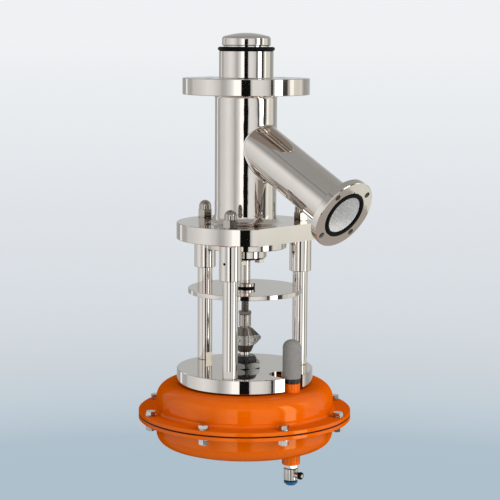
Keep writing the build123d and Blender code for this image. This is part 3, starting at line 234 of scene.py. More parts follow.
angle = np.linspace(0, 2 * np.pi, 96, endpoint=False)
reach = np.array([1e-4, 0.6, 1.3, 2.6, 5.0, 12.0, 30.0, 100.0, FLOOR_RADIUS])
disc = np.stack([np.outer(reach, np.cos(angle)), np.outer(reach, np.sin(angle)),
                 np.full((len(reach), len(angle)), FLOOR_Z)], axis=-1)
floor = grid_mesh("studio_floor", disc[:, ::-1], close_columns=True)
print("floor at", FLOOR_Z, "m, faces up:", floor.data.polygons[0].normal.z > 0)

# %% [markdown]
# The paper's tone runs along 1 - start / distance, which spreads the fade evenly up
# the picture. The camera sees the colour itself, and close to the valve a share of
# real, lit floor is mixed in for a soft shadow. Mirrors see one plain tone, and from
# below the paper is clear.

# %% Floor paper
FADE_START = 1.29
LIT_SHARE = 0.30
LIT_FROM, LIT_TO = 0.4, 0.9
FLOOR_IN_MIRRORS = seen(188, 183, 178)
FLOOR_TONES = [(0.0, (174, 192, 204)), (0.13, (176, 193, 205)), (0.30, (193, 205, 214)),
               (0.46, (205, 212, 218)), (0.63, (215, 220, 226)), (0.80, (223, 227, 232)),
               (0.95, (233, 237, 240)), (1.0, (240, 241, 243))]

paper, t, out = fresh_material("studio_paper")
place = t.add("TexCoord").outputs["Object"]
flat = t.add("VectorMath", {0: place, 1: (1, 1, 0)}, operation="MULTIPLY").outputs[0]
far = t.add("VectorMath", {0: flat}, operation="LENGTH").outputs["Value"]
fade = t.math("SUBTRACT", 1.0, t.math("DIVIDE", FADE_START, far), clamp=True)
ramp = t.add("ValToRGB", {0: fade})
ramp.color_ramp.elements[0].color = seen(*FLOOR_TONES[0][1])
ramp.color_ramp.elements[1].color = seen(*FLOOR_TONES[-1][1])
for position, tone in FLOOR_TONES[1:-1]:
    ramp.color_ramp.elements.new(position).color = seen(*tone)
rays = t.add("LightPath").outputs
tone = t.mix(rays["Is Glossy Ray"], ramp.outputs["Color"], FLOOR_IN_MIRRORS)
glow = t.add("Emission", {"Color": tone, "Strength": 1.0}).outputs[0]
lit = t.add("BsdfDiffuse", {"Color": ramp.outputs["Color"]}).outputs[0]
painted = t.span(far, LIT_FROM, LIT_TO, 1.0 - LIT_SHARE, 1.0)
mirrored = t.math("MAXIMUM", rays["Is Glossy Ray"], rays["Is Transmission Ray"])
share = t.math("MAXIMUM", t.math("MULTIPLY", rays["Is Camera Ray"], painted), mirrored)
above = t.add("MixShader", {0: share, 1: lit, 2: glow}).outputs[0]
below = t.add("BsdfTransparent").outputs[0]
side = t.add("NewGeometry").outputs["Backfacing"]
t.feed(out.inputs["Surface"], t.add("MixShader", {0: side, 1: above, 2: below}).outputs[0])
paper.cycles.emission_sampling = "NONE"
floor.data.materials.append(paper)
print("floor tones:", len(FLOOR_TONES), "lit share", LIT_SHARE)

# %% [markdown]
# The sky closes the set: pale for the camera, a mid grey ceiling for mirrors, and a
# soft even light for everything else. A domed plug mirrors the ceiling, and it would
# turn white if the ceiling were as bright as the backdrop.

# %% Sky
AMBIENT = 0.52
AMBIENT_BLUE = 1.01
SKY_TO_CAMERA = seen(240, 241, 243)
SKY_IN_MIRRORS = seen(182, 182, 182)

world = bpy.data.worlds.new("studio_sky")
world.use_nodes = True
world.node_tree.nodes.clear()
t = Tree(world.node_tree)
rays = t.add("LightPath").outputs
tone = t.mix(rays["Is Camera Ray"], (AMBIENT, AMBIENT, AMBIENT * AMBIENT_BLUE, 1), SKY_TO_CAMERA)
tone = t.mix(rays["Is Glossy Ray"], tone, SKY_IN_MIRRORS)
sky = t.add("Background", {"Color": tone, "Strength": 1.0}).outputs[0]
t.feed(t.add("OutputWorld").inputs["Surface"], sky)
bpy.context.scene.world = world
print("ambient level", AMBIENT)

# %% [markdown]
# ## The light tent
# Polished steel has no colour of its own: it shows the room. A photographer stands
# the valve in a tent of pale cloth with white and black cards, and each card becomes
# one vertical stripe on a tube. The tent could be a picture of a studio on the world,
# but then it would be endlessly far away; a real cylinder close to the valve moves
# the stripes from piece to piece as they do in a photograph. Its tones are plain
# levels at compass angles from the camera, to the right is positive. Only mirror rays
# see the tent; lamps do the rest of the lighting.

# %% Tent helpers
TENT_RADIUS = 1.1
TENT_TOP = 1.9
COOL = np.array([0.965, 1.0, 1.02])
CREAM = [(-180, 0.98), (-60, 1.0), (30, 0.99), (80, 0.96), (96, 0.90), (122, 0.93), (150, 0.98),
         (180, 0.98)]


def on_tent(degrees, heights, radius):
    """Grid on an upright cylinder: (back * cos + right * sin of the angle) * radius, at each height."""
    a = np.radians(degrees)
    ring = radius * (np.outer(np.cos(a), back) + np.outer(np.sin(a), right))
    return ring[None, :, :] + heights[:, None, None] * up


def glow_material(name):
    """Plain glow taken from the mesh's own colour attribute, named tone."""
    material, t, out = fresh_material(name)
    tone = t.add("Attribute", attribute_name="tone").outputs["Color"]
    t.feed(out.inputs["Surface"], t.add("Emission", {"Color": tone}).outputs[0])
    material.cycles.emission_sampling = "NONE"
    return material


def hang(thing, level, degrees):
    """Tone of a stage sheet: its level times COOL, with less blue by CREAM; only mirror rays see it."""
    blue = np.interp(degrees, *zip(*CREAM))
    cream = np.stack([np.ones_like(blue), np.ones_like(blue), blue], axis=-1)
    tones = np.concatenate([level[..., None] * COOL * cream, np.ones_like(level)[..., None]], axis=-1)
    layer = thing.data.attributes.new("tone", "FLOAT_COLOR", "POINT")
    layer.data.foreach_set("color", tones.astype(np.float32).ravel())
    thing.data.materials.append(tent_glow)
    for ray in ("camera", "diffuse", "transmission", "volume_scatter", "shadow"):
        setattr(thing, "visible_" + ray, False)


tent_glow = glow_material("tent_glow")
print("tent helpers ready, radius", TENT_RADIUS, "m")

# %% [markdown]
# Near the valve's own height the cloth has a level for each angle, written down as
# pairs of an angle and the level there. Higher up it turns to the dull tone of the
# ceiling, which the domed plug and the upper side of the slanted outlet mirror, with
# one darker seam at the left.

# %% Tent cloth
CLOTH = [(-180, 0.58), (-168, 0.60), (-161, 0.44), (-137, 0.46), (-133, 1.20), (-129, 1.20),
         (-126, 0.60), (-113, 0.57), (-106, 0.84), (-90, 0.93), (-70, 1.14), (-60, 1.07), (-48, 0.85),
         (-41, 0.60), (-35, 0.68), (-26, 1.05), (-21, 1.40), (8, 0.70), (12, 1.10), (26, 1.08),
         (37, 0.88), (42, 0.56), (49, 0.60), (66, 0.50), (78, 0.55), (84, 1.15), (96, 1.00),
         (103, 0.94), (114, 1.05), (119, 0.60), (126, 0.44), (136, 0.48), (150, 0.53), (162, 0.62),
         (180, 0.58)]
CEILING = 0.47
FADE_LOW, FADE_HIGH = 0.22, 0.62
SEAM_ANGLES, SEAM_HEIGHTS, SEAM_LEVEL = (-125.0, -15.0), (1.2, 1.55), 0.34


def within(values, ends):
    """True where a value lies between the two ends."""
    return (values > ends[0]) & (values < ends[1])


degrees = np.linspace(-180, 180, 361)
heights = np.linspace(FLOOR_Z, TENT_TOP, 57)
level = np.interp(degrees, *zip(*CLOTH))[None, :]
rise = np.clip((heights - FADE_LOW) / (FADE_HIGH - FADE_LOW), 0, 1)[:, None]
level = level * (1 - rise) + CEILING * rise
seam = within(degrees, SEAM_ANGLES)[None, :] & within(heights, SEAM_HEIGHTS)[:, None]
level = np.where(seam, SEAM_LEVEL, level)
wall = grid_mesh("tent_wall", on_tent(degrees, heights, TENT_RADIUS))
hang(wall, level, degrees)
print("tent cloth from", level.min().round(2), "to", level.max().round(2))

# %% [markdown]
# The tent needs a roof, because the flat tops of the flanges and the plate mirror
# what is above them. A single square would have a single tone; rings of points let
# its colour turn with the compass angle, as the cloth's does.

# %% Tent ceiling
SHEET_LEVEL = CEILING * 0.94
OVERLAP = 1.01

reach = np.linspace(0.001, TENT_RADIUS * OVERLAP, 8)
ceiling = np.stack([on_tent(degrees, np.array([TENT_TOP]), radius)[0] for radius in reach])
cover = grid_mesh("tent_ceiling", ceiling)
hang(cover, np.full(ceiling.shape[:2], SHEET_LEVEL), degrees)
print("ceiling level", round(SHEET_LEVEL, 3))

# %% [markdown]
# The cards: a black one at the camera makes the dark line down the middle of the
# tubes, two thin dark ones at the right make the lines beside the brightest band, and
# white boxes make the bright bands. The black one stops just above the valve, so that
# the flat tops don't all mirror it from behind. Each row holds where the card starts
# and ends, its foot and its top, and its level at foot and top.

# %% Cards in the tent
FLOOR_UP = FLOOR_Z + 0.002
CARD_GAP = 0.03
CARD_COLUMNS, CARD_ROWS = 12, 6
CARDS = {
    "flag_at_camera": (-8.2, 7.4, FLOOR_UP, 0.06, 0.008, 0.008),
    "strip_left_of_camera": (-20.5, -8.8, FLOOR_UP, 0.20, 1.55, 1.7),
    "thin_flag_right": (43.0, 47.0, FLOOR_UP, 0.25, 0.06, 0.06),
    "key_box": (50.5, 65.5, FLOOR_UP, 0.50, 3.4, 3.4),
    "flag_beside_key": (66.5, 76.5, FLOOR_UP, 0.35, 0.08, 0.08),
    "side_box_low": (82.5, 93.0, -0.62, -0.06, 0.62, 1.55),
    "side_box": (82.5, 93.0, -0.06, 0.38, 1.55, 1.9),
}

for name, (start, end, foot, top, low_level, high_level) in CARDS.items():
    degrees = np.linspace(start, end, CARD_COLUMNS)
    heights = np.linspace(foot, top, CARD_ROWS)
    card = grid_mesh("card_" + name, on_tent(degrees, heights, TENT_RADIUS - CARD_GAP))
    level = np.linspace(low_level, high_level, CARD_ROWS)[:, None]
    hang(card, np.repeat(level, CARD_COLUMNS, axis=1), degrees)
print("cards:", ", ".join(CARDS))

# %% [markdown]
# ## The lamps
# Mirror rays are taken care of, so the lamps only light what is not a mirror: the
# orange paint, the rubber and the porous silencer. One large lamp stands at the
# camera's right, a weaker one at the left, one hangs overhead, and a wide low one
# in front lifts the lower shell, as a pale table would. Small spots could do it, but
# big lamps near the valve give the soft shadow edges of a product picture. Each row
# holds the angle from the camera, the distance, the height, two sides and the watts.

# %% Lamps
LAMPS = {
    "key": (58.0, 2.9, 1.0, 1.3, 2.2, 66.0),
    "fill": (-55.0, 2.9, 0.5, 1.6, 2.0, 18.0),
    "overhead": (170.0, 0.5, 2.5, 2.2, 2.2, 20.0),
    "low_bounce": (14.0, 2.4, -0.72, 2.2, 0.6, 34.0),
}
AIM = np.array([0.0, 0.0, -0.28])


def put_lamp(lamp, place, aim):
    """Stands a lamp at its place, turns it to its aim, and hides it from mirrors and the camera."""
    lamp.location = Vector(place)
    lamp.rotation_euler = Vector(aim - place).to_track_quat("-Z", "Y").to_euler()
    lamp.visible_glossy = False
    lamp.visible_camera = False
    bpy.context.collection.objects.link(lamp)


for name, (degrees, radius, height, width, depth, watts) in LAMPS.items():
    a = np.radians(degrees)
    place = radius * (back * np.cos(a) + right * np.sin(a)) + up * height
    lamp = bpy.data.objects.new("lamp_" + name, bpy.data.lights.new("lamp_" + name, "AREA"))
    lamp.data.shape, lamp.data.energy = "RECTANGLE", watts
    lamp.data.size, lamp.data.size_y = width, depth
    put_lamp(lamp, place, AIM)
print("lamps:", {name: row[-1] for name, row in LAMPS.items()})

# %% [markdown]
# The outlet's bore is deep, so it would stay dark. One narrow spot looks into it
# from beside the camera, along a line near the outlet's own slanted axis.

# %% Lamp into the outlet's bore
OUTLET_DIP = np.radians(28.5)
OUTLET_ROOT = np.array([0.0, 0.0, -0.0796])
BORE_AIM = 0.19
BORE_LAMP_REACH = 0.75
BORE_LAMP_WATTS = 5.0
BORE_LAMP_CONE, BORE_LAMP_BLEND = np.radians(9.0), 0.6
BORE_LAMP_SIZE = 0.03
ALONG_AXIS, TO_CAMERA = 0.8, 0.55

outlet_axis = np.array([np.cos(OUTLET_DIP), 0.0, -np.sin(OUTLET_DIP)])
torch = bpy.data.objects.new("lamp_bore", bpy.data.lights.new("lamp_bore", "SPOT"))
torch.data.energy, torch.data.shadow_soft_size = BORE_LAMP_WATTS, BORE_LAMP_SIZE
torch.data.spot_size, torch.data.spot_blend = BORE_LAMP_CONE, BORE_LAMP_BLEND
aim = OUTLET_ROOT + outlet_axis * BORE_AIM
away = outlet_axis * ALONG_AXIS + back * TO_CAMERA
put_lamp(torch, aim + away / np.linalg.norm(away) * BORE_LAMP_REACH, aim)
print("bore lamp:", BORE_LAMP_WATTS, "W, aimed at", np.round(aim, 3))

# %% [markdown]
# ## Shared surface effects
# A turned flange, a drawn tube and a painted shell all carry the same few marks at
# different strengths: fine lines left by the tool, soft smudges from hands, and a
# grain in the surface itself. Each effect is a node group with named inputs, built
# once and placed in every finish with its own numbers. A group hands back only one
# value; the shader stays in the material.

# %% Group helper
ORIGIN = (0.0, 0.0, 0.0)


def effect(name, result, inputs):
    """New node group with one float output and inputs {name: default}; returns tree, inputs, output."""
    group = bpy.data.node_groups.new(name, "ShaderNodeTree")
    for key, value in inputs.items():
        kind = "NodeSocketVector" if isinstance(value, tuple) else "NodeSocketFloat"
        group.interface.new_socket(key, in_out="INPUT", socket_type=kind).default_value = value
    group.interface.new_socket(result, in_out="OUTPUT", socket_type="NodeSocketFloat")
    ins = group.nodes.new("NodeGroupInput").outputs
    outs = group.nodes.new("NodeGroupOutput").inputs
    return Tree(group), ins, outs[result]


def placed(tree, name, **inputs):
    """The value that a group gives in a material, with the group's inputs set by name."""
    node = tree.add("Group")
    node.node_tree = bpy.data.node_groups[name]
    for key, value in inputs.items():
        tree.feed(node.inputs[key.replace("_", " ").capitalize()], value)
    return node.outputs[0]


print("effect helpers ready")

# %% [markdown]
# **Tool lines.** A lathe leaves rings that share one centre. On any turned face the
# sum of the distance from the axis and the height along it is the same all the way
# round, so noise read along that one number draws the rings on a flat face, a rim
# and a cone alike. A Wave texture would make them too even.

# %% Tool lines
LINE_SWEEP = 0.15

t, ins, result = effect("tool_lines", "Height", {"Place": ORIGIN, "Per metre": 2600.0})
part = t.add("SeparateXYZ", {0: ins["Place"]}).outputs
along = t.math("ADD", t.from_axis(part), part["Z"])
turn = t.math("MULTIPLY", t.math("ARCTAN2", part["Y"], part["X"]), LINE_SWEEP)
spot = t.add("CombineXYZ", {"X": t.math("MULTIPLY", along, ins["Per metre"]), "Y": turn}).outputs[0]
t.feed(result, t.noise(spot, 1.0, 2.0, Roughness=0.6))
print("tool_lines made")

# %% [markdown]
# **Smudges.** Hands and cloths leave soft patches. A painted map would fit one piece
# only, while a slow noise fits any. It mostly nudges the roughness, so a smudge shows
# where a highlight crosses it.

# %% Smudges
t, ins, result = effect("smudges", "Value", {"Place": ORIGIN, "Per metre": 28.0, "Contrast": 0.25})
slow = t.noise(ins["Place"], ins["Per metre"], 4.0, Distortion=0.6)
half = t.math("MULTIPLY", ins["Contrast"], 0.5)
t.feed(result, t.span(slow, t.math("SUBTRACT", 0.5, half), t.math("ADD", 0.5, half)))
print("smudges made")

# %% [markdown]
# **Grain.** Paint, rubber and cast steel all have a fine skin. A Voronoi texture would
# break it into cells, which none of them shows; a fast noise fits, joined by a slower
# one so that the grain is never even.

# %% Grain
SLOWER = 0.13

t, ins, result = effect("grain", "Height", {"Place": ORIGIN, "Per metre": 900.0, "Unevenness": 0.3})
fast = t.noise(ins["Place"], ins["Per metre"], 3.0)
slow = t.noise(ins["Place"], t.math("MULTIPLY", ins["Per metre"], SLOWER))
t.feed(result, t.math("ADD", fast, t.math("MULTIPLY", slow, ins["Unevenness"])))
print("grain made")

# %% [markdown]
# **Dust.** A valve on a shelf gathers a trace of dust on what faces up. Loose flakes
# would be thousands of meshes; a mask is enough, which takes the upward part of the
# surface normal and breaks it with noise.

# %% Dust
UPWARD = (0.6, 1.0)
SPECKS = (0.5, 0.75)

t, ins, result = effect("dust", "Mask", {"Place": ORIGIN, "Amount": 0.1})
facing = t.add("SeparateXYZ", {0: t.add("NewGeometry").outputs["Normal"]}).outputs["Z"]
specks = t.span(t.noise(ins["Place"], 420.0, 6.0, Roughness=0.75), *SPECKS)
t.feed(result, t.math("MULTIPLY", t.math("MULTIPLY", t.span(facing, *UPWARD), specks), ins["Amount"]))
print("dust made")

# %% [markdown]
# ## Polished and turned steel
# All the bright metal is one stainless steel with different last steps: buffed
# columns and stems, finely turned flanges, and plain nuts and bolts. They could share
# one plain metal, but then a nut, a tube and a rim would catch the light alike. A
# steel is a metallic Principled shader whose roughness moves a little with the
# smudges and whose normal is nudged by a slow ripple, tool lines and a cast grain.
# `lean` turns the lines with a slanted piece, and `special` changes one place.

# %% Steel maker
TOOL_DEPTH = 0.00002
SMUDGE_SHADE = 0.97
DUST_ON_STEEL = (0.55, 0.54, 0.52, 1.0)


def principled(t, out, **sockets):
    """Puts a Principled shader with these sockets on the material; _ stands for a space in a name."""
    inputs = {key.replace("_", " "): value for key, value in sockets.items()}
    t.feed(out.inputs["Surface"], t.add("BsdfPrincipled", inputs).outputs[0])


def steel(name, tint, rough, spread, lines=0.0, per_metre=2600.0, cast=0.0, cast_scale=900.0,
          ripple=0.00004, ripple_scale=45.0, lean=0.0, centre=ORIGIN, dusty=0.0, special=None):
    """Metal, rough to rough + spread by smudges; its bump is ripple + rings * lines + grain * cast."""
    material, t, out = fresh_material(name)
    place = t.add("TexCoord").outputs["Object"]
    turned = t.add("Mapping", {"Vector": place, "Location": centre, "Rotation": (0.0, lean, 0.0)},
                   vector_type="TEXTURE").outputs[0]
    smudge = placed(t, "smudges", place=place)
    roughness = t.span(smudge, 0.0, 1.0, rough, rough + spread)
    rings = placed(t, "tool_lines", place=turned, per_metre=per_metre)
    skin = placed(t, "grain", place=place, per_metre=cast_scale)
    height = t.math("ADD", t.math("MULTIPLY", rings, lines), t.math("MULTIPLY", skin, cast))
    waves = t.noise(place, ripple_scale, 1.5)
    wavy = t.add("Bump", {"Strength": 1.0, "Distance": ripple, "Height": waves}).outputs[0]
    bump = t.add("Bump", {"Strength": 1.0, "Distance": TOOL_DEPTH, "Height": height, "Normal": wavy})
    mask = placed(t, "dust", place=place, amount=dusty)
    shade = t.mix(smudge, (*[c * SMUDGE_SHADE for c in tint], 1.0), (*tint, 1.0))
    metal = t.math("SUBTRACT", 1.0, mask)
    if special:
        shade, roughness, metal = special(t, place, turned, shade, roughness, metal)
    principled(t, out, Base_Color=t.mix(mask, shade, DUST_ON_STEEL), Metallic=metal,
               Roughness=roughness, Normal=bump.outputs[0])
    return material


print("steel maker ready")

# %% [markdown]
# Two steels change within one piece. The outlet's bore is unpolished: pale, dull,
# with faint drawn lines along the tube. The clamp's middle band has a paler tint
# than its two cones. Both are told apart by place, so the pieces need no extra faces.

# %% Special places
BORE_WALL = (0.0284, 0.0286)
DRAWN_ROUND, DRAWN_ALONG = 26.0, 14.0
SATIN_DARK, SATIN_PALE = (0.66, 0.645, 0.62, 1.0), (0.86, 0.85, 0.83, 1.0)
SATIN_ROUGH, SATIN_METAL = 0.3, 0.25
CLAMP_MIDDLE = -0.379
BAND_HALF = (0.0066, 0.0072)
BAND_TINT, BAND_ROUGH = (0.42, 0.39, 0.355, 1.0), 0.3


def satin_bore(t, place, turned, shade, roughness, metal):
    """Inside the bore's wall: noise over angle and length mixes two pale tones; duller, less metal."""
    part = t.add("SeparateXYZ", {0: turned}).outputs
    inside = t.span(t.from_axis(part), *BORE_WALL, 1.0, 0.0)
    turn = t.math("MULTIPLY", t.math("ARCTAN2", part["Y"], part["X"]), DRAWN_ROUND)
    length = t.math("MULTIPLY", part["Z"], DRAWN_ALONG)
    drawn = t.noise(t.add("CombineXYZ", {"X": turn, "Y": length}).outputs[0], 1.0, 2.0)
    pale = t.mix(t.span(drawn, 0.35, 0.65), SATIN_DARK, SATIN_PALE)
    return (t.mix(inside, shade, pale), t.span(inside, 0.0, 1.0, roughness, SATIN_ROUGH),
            t.span(inside, 0.0, 1.0, metal, SATIN_METAL))


def clamp_bands(t, place, turned, shade, roughness, metal):
    """Within half a band of the clamp's middle height: a paler tint and one roughness."""
    height = t.add("SeparateXYZ", {0: place}).outputs["Z"]
    off = t.math("ABSOLUTE", t.math("SUBTRACT", height, CLAMP_MIDDLE))
    band = t.span(off, *BAND_HALF, 1.0, 0.0)
    return t.mix(band, shade, BAND_TINT), t.span(band, 0.0, 1.0, roughness, BAND_ROUGH), metal


print("special places: the outlet's bore and the clamp's band")

# %% [markdown]
# The steels stand in one table, so that two of them can be compared at a glance: the
# tint, where the roughness starts and how far it spreads, and the marks. Tints are
# linear, lengths are in metres, and the outlet's lines turn with its slanted axis.

# %% Steels
OUTLET_LEAN = np.radians(90.0) + OUTLET_DIP
STAINLESS = (0.66, 0.602, 0.556)
STEELS = {
    "buffed_steel": dict(tint=STAINLESS, rough=0.025, spread=0.02),
    "drawn_steel": dict(tint=STAINLESS, rough=0.025, spread=0.02, ripple=0.00034, ripple_scale=42.0),
    "turned_steel": dict(tint=STAINLESS, rough=0.03, spread=0.03, lines=0.05, per_metre=900.0,
                         dusty=0.02),
    "outlet_steel": dict(tint=STAINLESS, rough=0.04, spread=0.03, lines=0.03, ripple=0.00010,
                         ripple_scale=50.0, lean=OUTLET_LEAN, centre=tuple(OUTLET_ROOT),
                         special=satin_bore),
    # nuts and bolts: the tint darker than STAINLESS is painted shade, standing in for the dark
    # surroundings that they mirror
    "nut_steel": dict(tint=(0.40, 0.36, 0.32), rough=0.04, spread=0.05, cast=0.05, dusty=0.03),
    "bolt_steel": dict(tint=(0.40, 0.36, 0.32), rough=0.30, spread=0.10, cast=0.3, dusty=0.05),
    "screw_steel": dict(tint=(0.52, 0.50, 0.47), rough=0.10, spread=0.10, cast=0.2, dusty=0.05),
    "cast_steel": dict(tint=(0.16, 0.137, 0.118), rough=0.22, spread=0.12, cast=2.4, cast_scale=700.0,
                       dusty=0.05, special=clamp_bands),
    "dark_steel": dict(tint=(0.25, 0.245, 0.235), rough=0.24, spread=0.12, cast=0.6, dusty=0.05),
    "thread_steel": dict(tint=(0.22, 0.19, 0.165), rough=0.20, spread=0.10, cast=0.4, dusty=0.02),
    "black_screw": dict(tint=(0.035, 0.034, 0.033), rough=0.4, spread=0.10, cast=0.4),
    "spring_wire": dict(tint=(0.30, 0.31, 0.33), rough=0.32, spread=0.1, cast=0.8),
    "bronze": dict(tint=(0.64, 0.40, 0.18), rough=0.25, spread=0.1, lines=0.5),
}

finishes = {name: steel(name, **row) for name, row in STEELS.items()}
print("steels:", ", ".join(finishes))

# %% [markdown]
# ## Orange enamel
# The pressed shells are sprayed with a glossy enamel. Sprayed paint dries with a
# faint ripple, called orange peel, and is a touch darker where it is thin. A clear
# coat would put a white edge round each bowl; an amber gloss that fades where the
# paint turns away keeps the edges orange and leaves soft window shapes on the front.

# %% Paint
ENAMEL, ENAMEL_THIN = seen(207, 88, 0), seen(188, 74, 0)
THIN_SHARE = 0.55
DUST_ON_ENAMEL = (0.62, 0.52, 0.44, 1.0)
AMBER = (1.0, 0.76, 0.32, 1.0)
PEEL_DEPTH = 0.00002
GLOSS, GLOSS_FADES = 0.5, (0.22, 0.62)

paint, t, out = fresh_material("orange_enamel")
place = t.add("TexCoord").outputs["Object"]
blotch = placed(t, "smudges", place=place, per_metre=14.0, contrast=0.5)
mask = placed(t, "dust", place=place, amount=0.06)
shade = t.mix(t.math("MULTIPLY", blotch, THIN_SHARE), ENAMEL, ENAMEL_THIN)
shade = t.mix(mask, shade, DUST_ON_ENAMEL)
peel = placed(t, "grain", place=place, per_metre=160.0, unevenness=0.8)
ripple = t.add("Bump", {"Strength": 1.0, "Distance": PEEL_DEPTH, "Height": peel}).outputs[0]
turned_away = t.add("LayerWeight", {"Blend": 0.5}).outputs["Facing"]
principled(t, out, Base_Color=shade, Roughness=t.span(blotch, 0.0, 1.0, 0.05, 0.09), Normal=ripple,
           Specular_IOR_Level=t.span(turned_away, *GLOSS_FADES, GLOSS, 0.0), Specular_Tint=AMBER)
finishes["orange_enamel"] = paint
print("orange_enamel made")

# %% [markdown]
# ## Rubber and plastic
# Rubber and plastic share a maker: a dull dielectric with a fine moulded grain. They
# could be one flat dark colour each, but the grain and the smudges are what tell a
# rubber ring from a painted one.

# %% Rubber and plastic
MOULD_GRAIN, GRAIN_DEPTH = 1200.0, 0.00006
MOULD_SHADE = 0.88
DUST_ON_RUBBER = (0.4, 0.4, 0.39, 1.0)
MOULDED = {
    "rubber": dict(colour=seen(8, 8, 9), rough=0.40, dusty=0.01, gloss=0.06),
    "black_plastic": dict(colour=seen(22, 22, 22), rough=0.22, dusty=0.02, gloss=0.4),
    "blue_plastic": dict(colour=seen(0, 80, 122), rough=0.2, grain=0.2, coat=0.1, dusty=0.02, gloss=0.3),
    "seal_white": dict(colour=seen(232, 231, 226), rough=0.4, grain=0.2, dusty=0.08, gloss=0.5),
}


def moulded(name, colour, rough, dusty, gloss, grain=0.5, coat=0.0):
    """Dielectric of one colour, a little darker by smudges, with a moulded grain and a trace of dust."""
    material, t, out = fresh_material(name)
    place = t.add("TexCoord").outputs["Object"]
    smudge = placed(t, "smudges", place=place, per_metre=40.0)
    mask = placed(t, "dust", place=place, amount=dusty)
    shade = t.mix(smudge, (*[c * MOULD_SHADE for c in colour[:3]], 1.0), colour)
    skin = placed(t, "grain", place=place, per_metre=MOULD_GRAIN)
    bump = t.add("Bump", {"Strength": grain, "Distance": GRAIN_DEPTH, "Height": skin}).outputs[0]
    principled(t, out, Base_Color=t.mix(mask, shade, DUST_ON_RUBBER),
               Roughness=t.span(smudge, 0.0, 1.0, rough, rough + 0.12), Normal=bump,
               Specular_IOR_Level=gloss, Coat_Weight=coat, Coat_Roughness=0.1)
    return material


finishes.update({name: moulded(name, **row) for name, row in MOULDED.items()})
print("moulded:", ", ".join(MOULDED))

# %% [markdown]
# ## The porous silencer
# The silencer is pressed from small beads: cells with gaps between them, which
# scatter the light and leave no highlight at all. Real beads would be thousands of
# tiny meshes, so a Voronoi texture stands in for them, and the gaps are darkened
# with painted shade, as the hollows between beads would be.

# %% Porous grey
BEADS_PER_METRE, SPECKS_PER_METRE = 1500.0, 900.0
BEAD_DARK, BEAD_PALE = seen(116, 113, 108), seen(143, 139, 134)
GAP_SHADE_TONE, BLOTCH_TONE = seen(92, 90, 88), seen(131, 127, 123)
GAP_DEPTH = 0.0002

porous, t, out = fresh_material("porous_grey")
place = t.add("TexCoord").outputs["Object"]
beads = t.add("TexVoronoi", {"Vector": place, "Scale": BEADS_PER_METRE, "Randomness": 1.0})
gaps = t.span(beads.outputs["Distance"], 0.25, 0.75)
specks = t.noise(place, SPECKS_PER_METRE, 4.0)
blotch = placed(t, "smudges", place=place, per_metre=60.0, contrast=0.6)
shade = t.mix(t.span(specks, 0.35, 0.7), BEAD_DARK, BEAD_PALE)
# painted shade: the gaps between the beads are darkened towards the gap tone
shade = t.mix(t.math("MULTIPLY", gaps, 0.45), shade, GAP_SHADE_TONE)
shade = t.mix(t.math("MULTIPLY", blotch, 0.3), shade, BLOTCH_TONE)
bead = t.math("SUBTRACT", 1.0, gaps)
hollow = t.add("Bump", {"Strength": 0.7, "Distance": GAP_DEPTH, "Height": bead}).outputs[0]
principled(t, out, Base_Color=shade, Roughness=0.92, Normal=hollow)
finishes["porous_grey"] = porous
print("finishes:", len(finishes))

# %% [markdown]
# ## Welds as rolling-ball fillets
# The outlet is welded into the body tube, and the seams are ground to smooth hollow
# fillets that bend every reflection. A fillet could be a Bevel modifier on joined
# solids, but the solids here stay as they are, so a thin piece is laid into each
# corner. Imagine a ball rolling along the corner: it touches both walls, and the arc
# between its two touching points is the fillet.

# %% Fillet helpers
def swung(centre, first, second, radius, steps):
    """Rows of points on a ball, from the first unit direction to the second, A apart, by even shares s:
    centre + radius * (first * sin((1 - s) * A) + second * sin(s * A)) / sin(A)."""
    angle = np.arccos(np.clip((first * second).sum(-1, keepdims=True), -1, 1))
    share = np.linspace(0, 1, steps)[:, None, None]
    path = (np.sin((1 - share) * angle) * first + np.sin(share * angle) * second) / np.sin(angle)
    return centre + radius * path


def add_piece(piece, body, finish):
    """Tells the frame which body carries the piece, and gives it its finish."""
    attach(piece, body)
    piece.data.materials.append(finishes[finish])


def crisp(piece, degrees=35.0):
    """Keeps edges sharper than the angle crisp, and the rest smooth."""
    piece.data.set_sharp_from_angle(angle=np.radians(degrees))


print("fillet helpers ready")

# %% [markdown]
# The ball that rolls round the outlet's root keeps its centre one ball radius away
# from both tubes. For each direction round the outlet's own axis, the place along
# that axis where this holds is the root of a quadratic, worked out for all at once.

# %% Fillet round the outlet's root
TUBE_R = 0.04445
OUTLET_R = 0.0331
ROOT_BALL = 0.0045
BURIED = 0.0004
ROOT_STEPS, ROOT_ARC_STEPS = 160, 14

turn = np.linspace(0, 2 * np.pi, ROOT_STEPS, endpoint=False)
over = up - (up @ outlet_axis) * outlet_axis
over /= np.linalg.norm(over)
aside = np.cross(outlet_axis, over)
round_outlet = np.outer(np.cos(turn), over) + np.outer(np.sin(turn), aside)
start = OUTLET_ROOT + (OUTLET_R + ROOT_BALL) * round_outlet
flat_axis = outlet_axis[:2]
half_b = start[:, :2] @ flat_axis
square = (start[:, :2] ** 2).sum(1) - (TUBE_R + ROOT_BALL) ** 2
along = (-half_b + np.sqrt(half_b ** 2 - (flat_axis @ flat_axis) * square)) / (flat_axis @ flat_axis)
centre = start + along[:, None] * outlet_axis
round_tube = centre * [1, 1, 0]
round_tube /= np.linalg.norm(round_tube, axis=1, keepdims=True)
arc = swung(centre, -round_outlet, -round_tube, ROOT_BALL, ROOT_ARC_STEPS)
joined = 1 + (round_outlet * round_tube).sum(1, keepdims=True)
corner = centre - (ROOT_BALL / joined + BURIED) * (round_outlet + round_tube)
points = np.concatenate([arc, corner[None]])
root_fillet = grid_mesh("outlet_root_weld", outward(points), close_rows=True, close_columns=True)
crisp(root_fillet)
add_piece(root_fillet, "valve", "drawn_steel")
print("outlet_root_weld:", len(root_fillet.data.polygons), "faces")

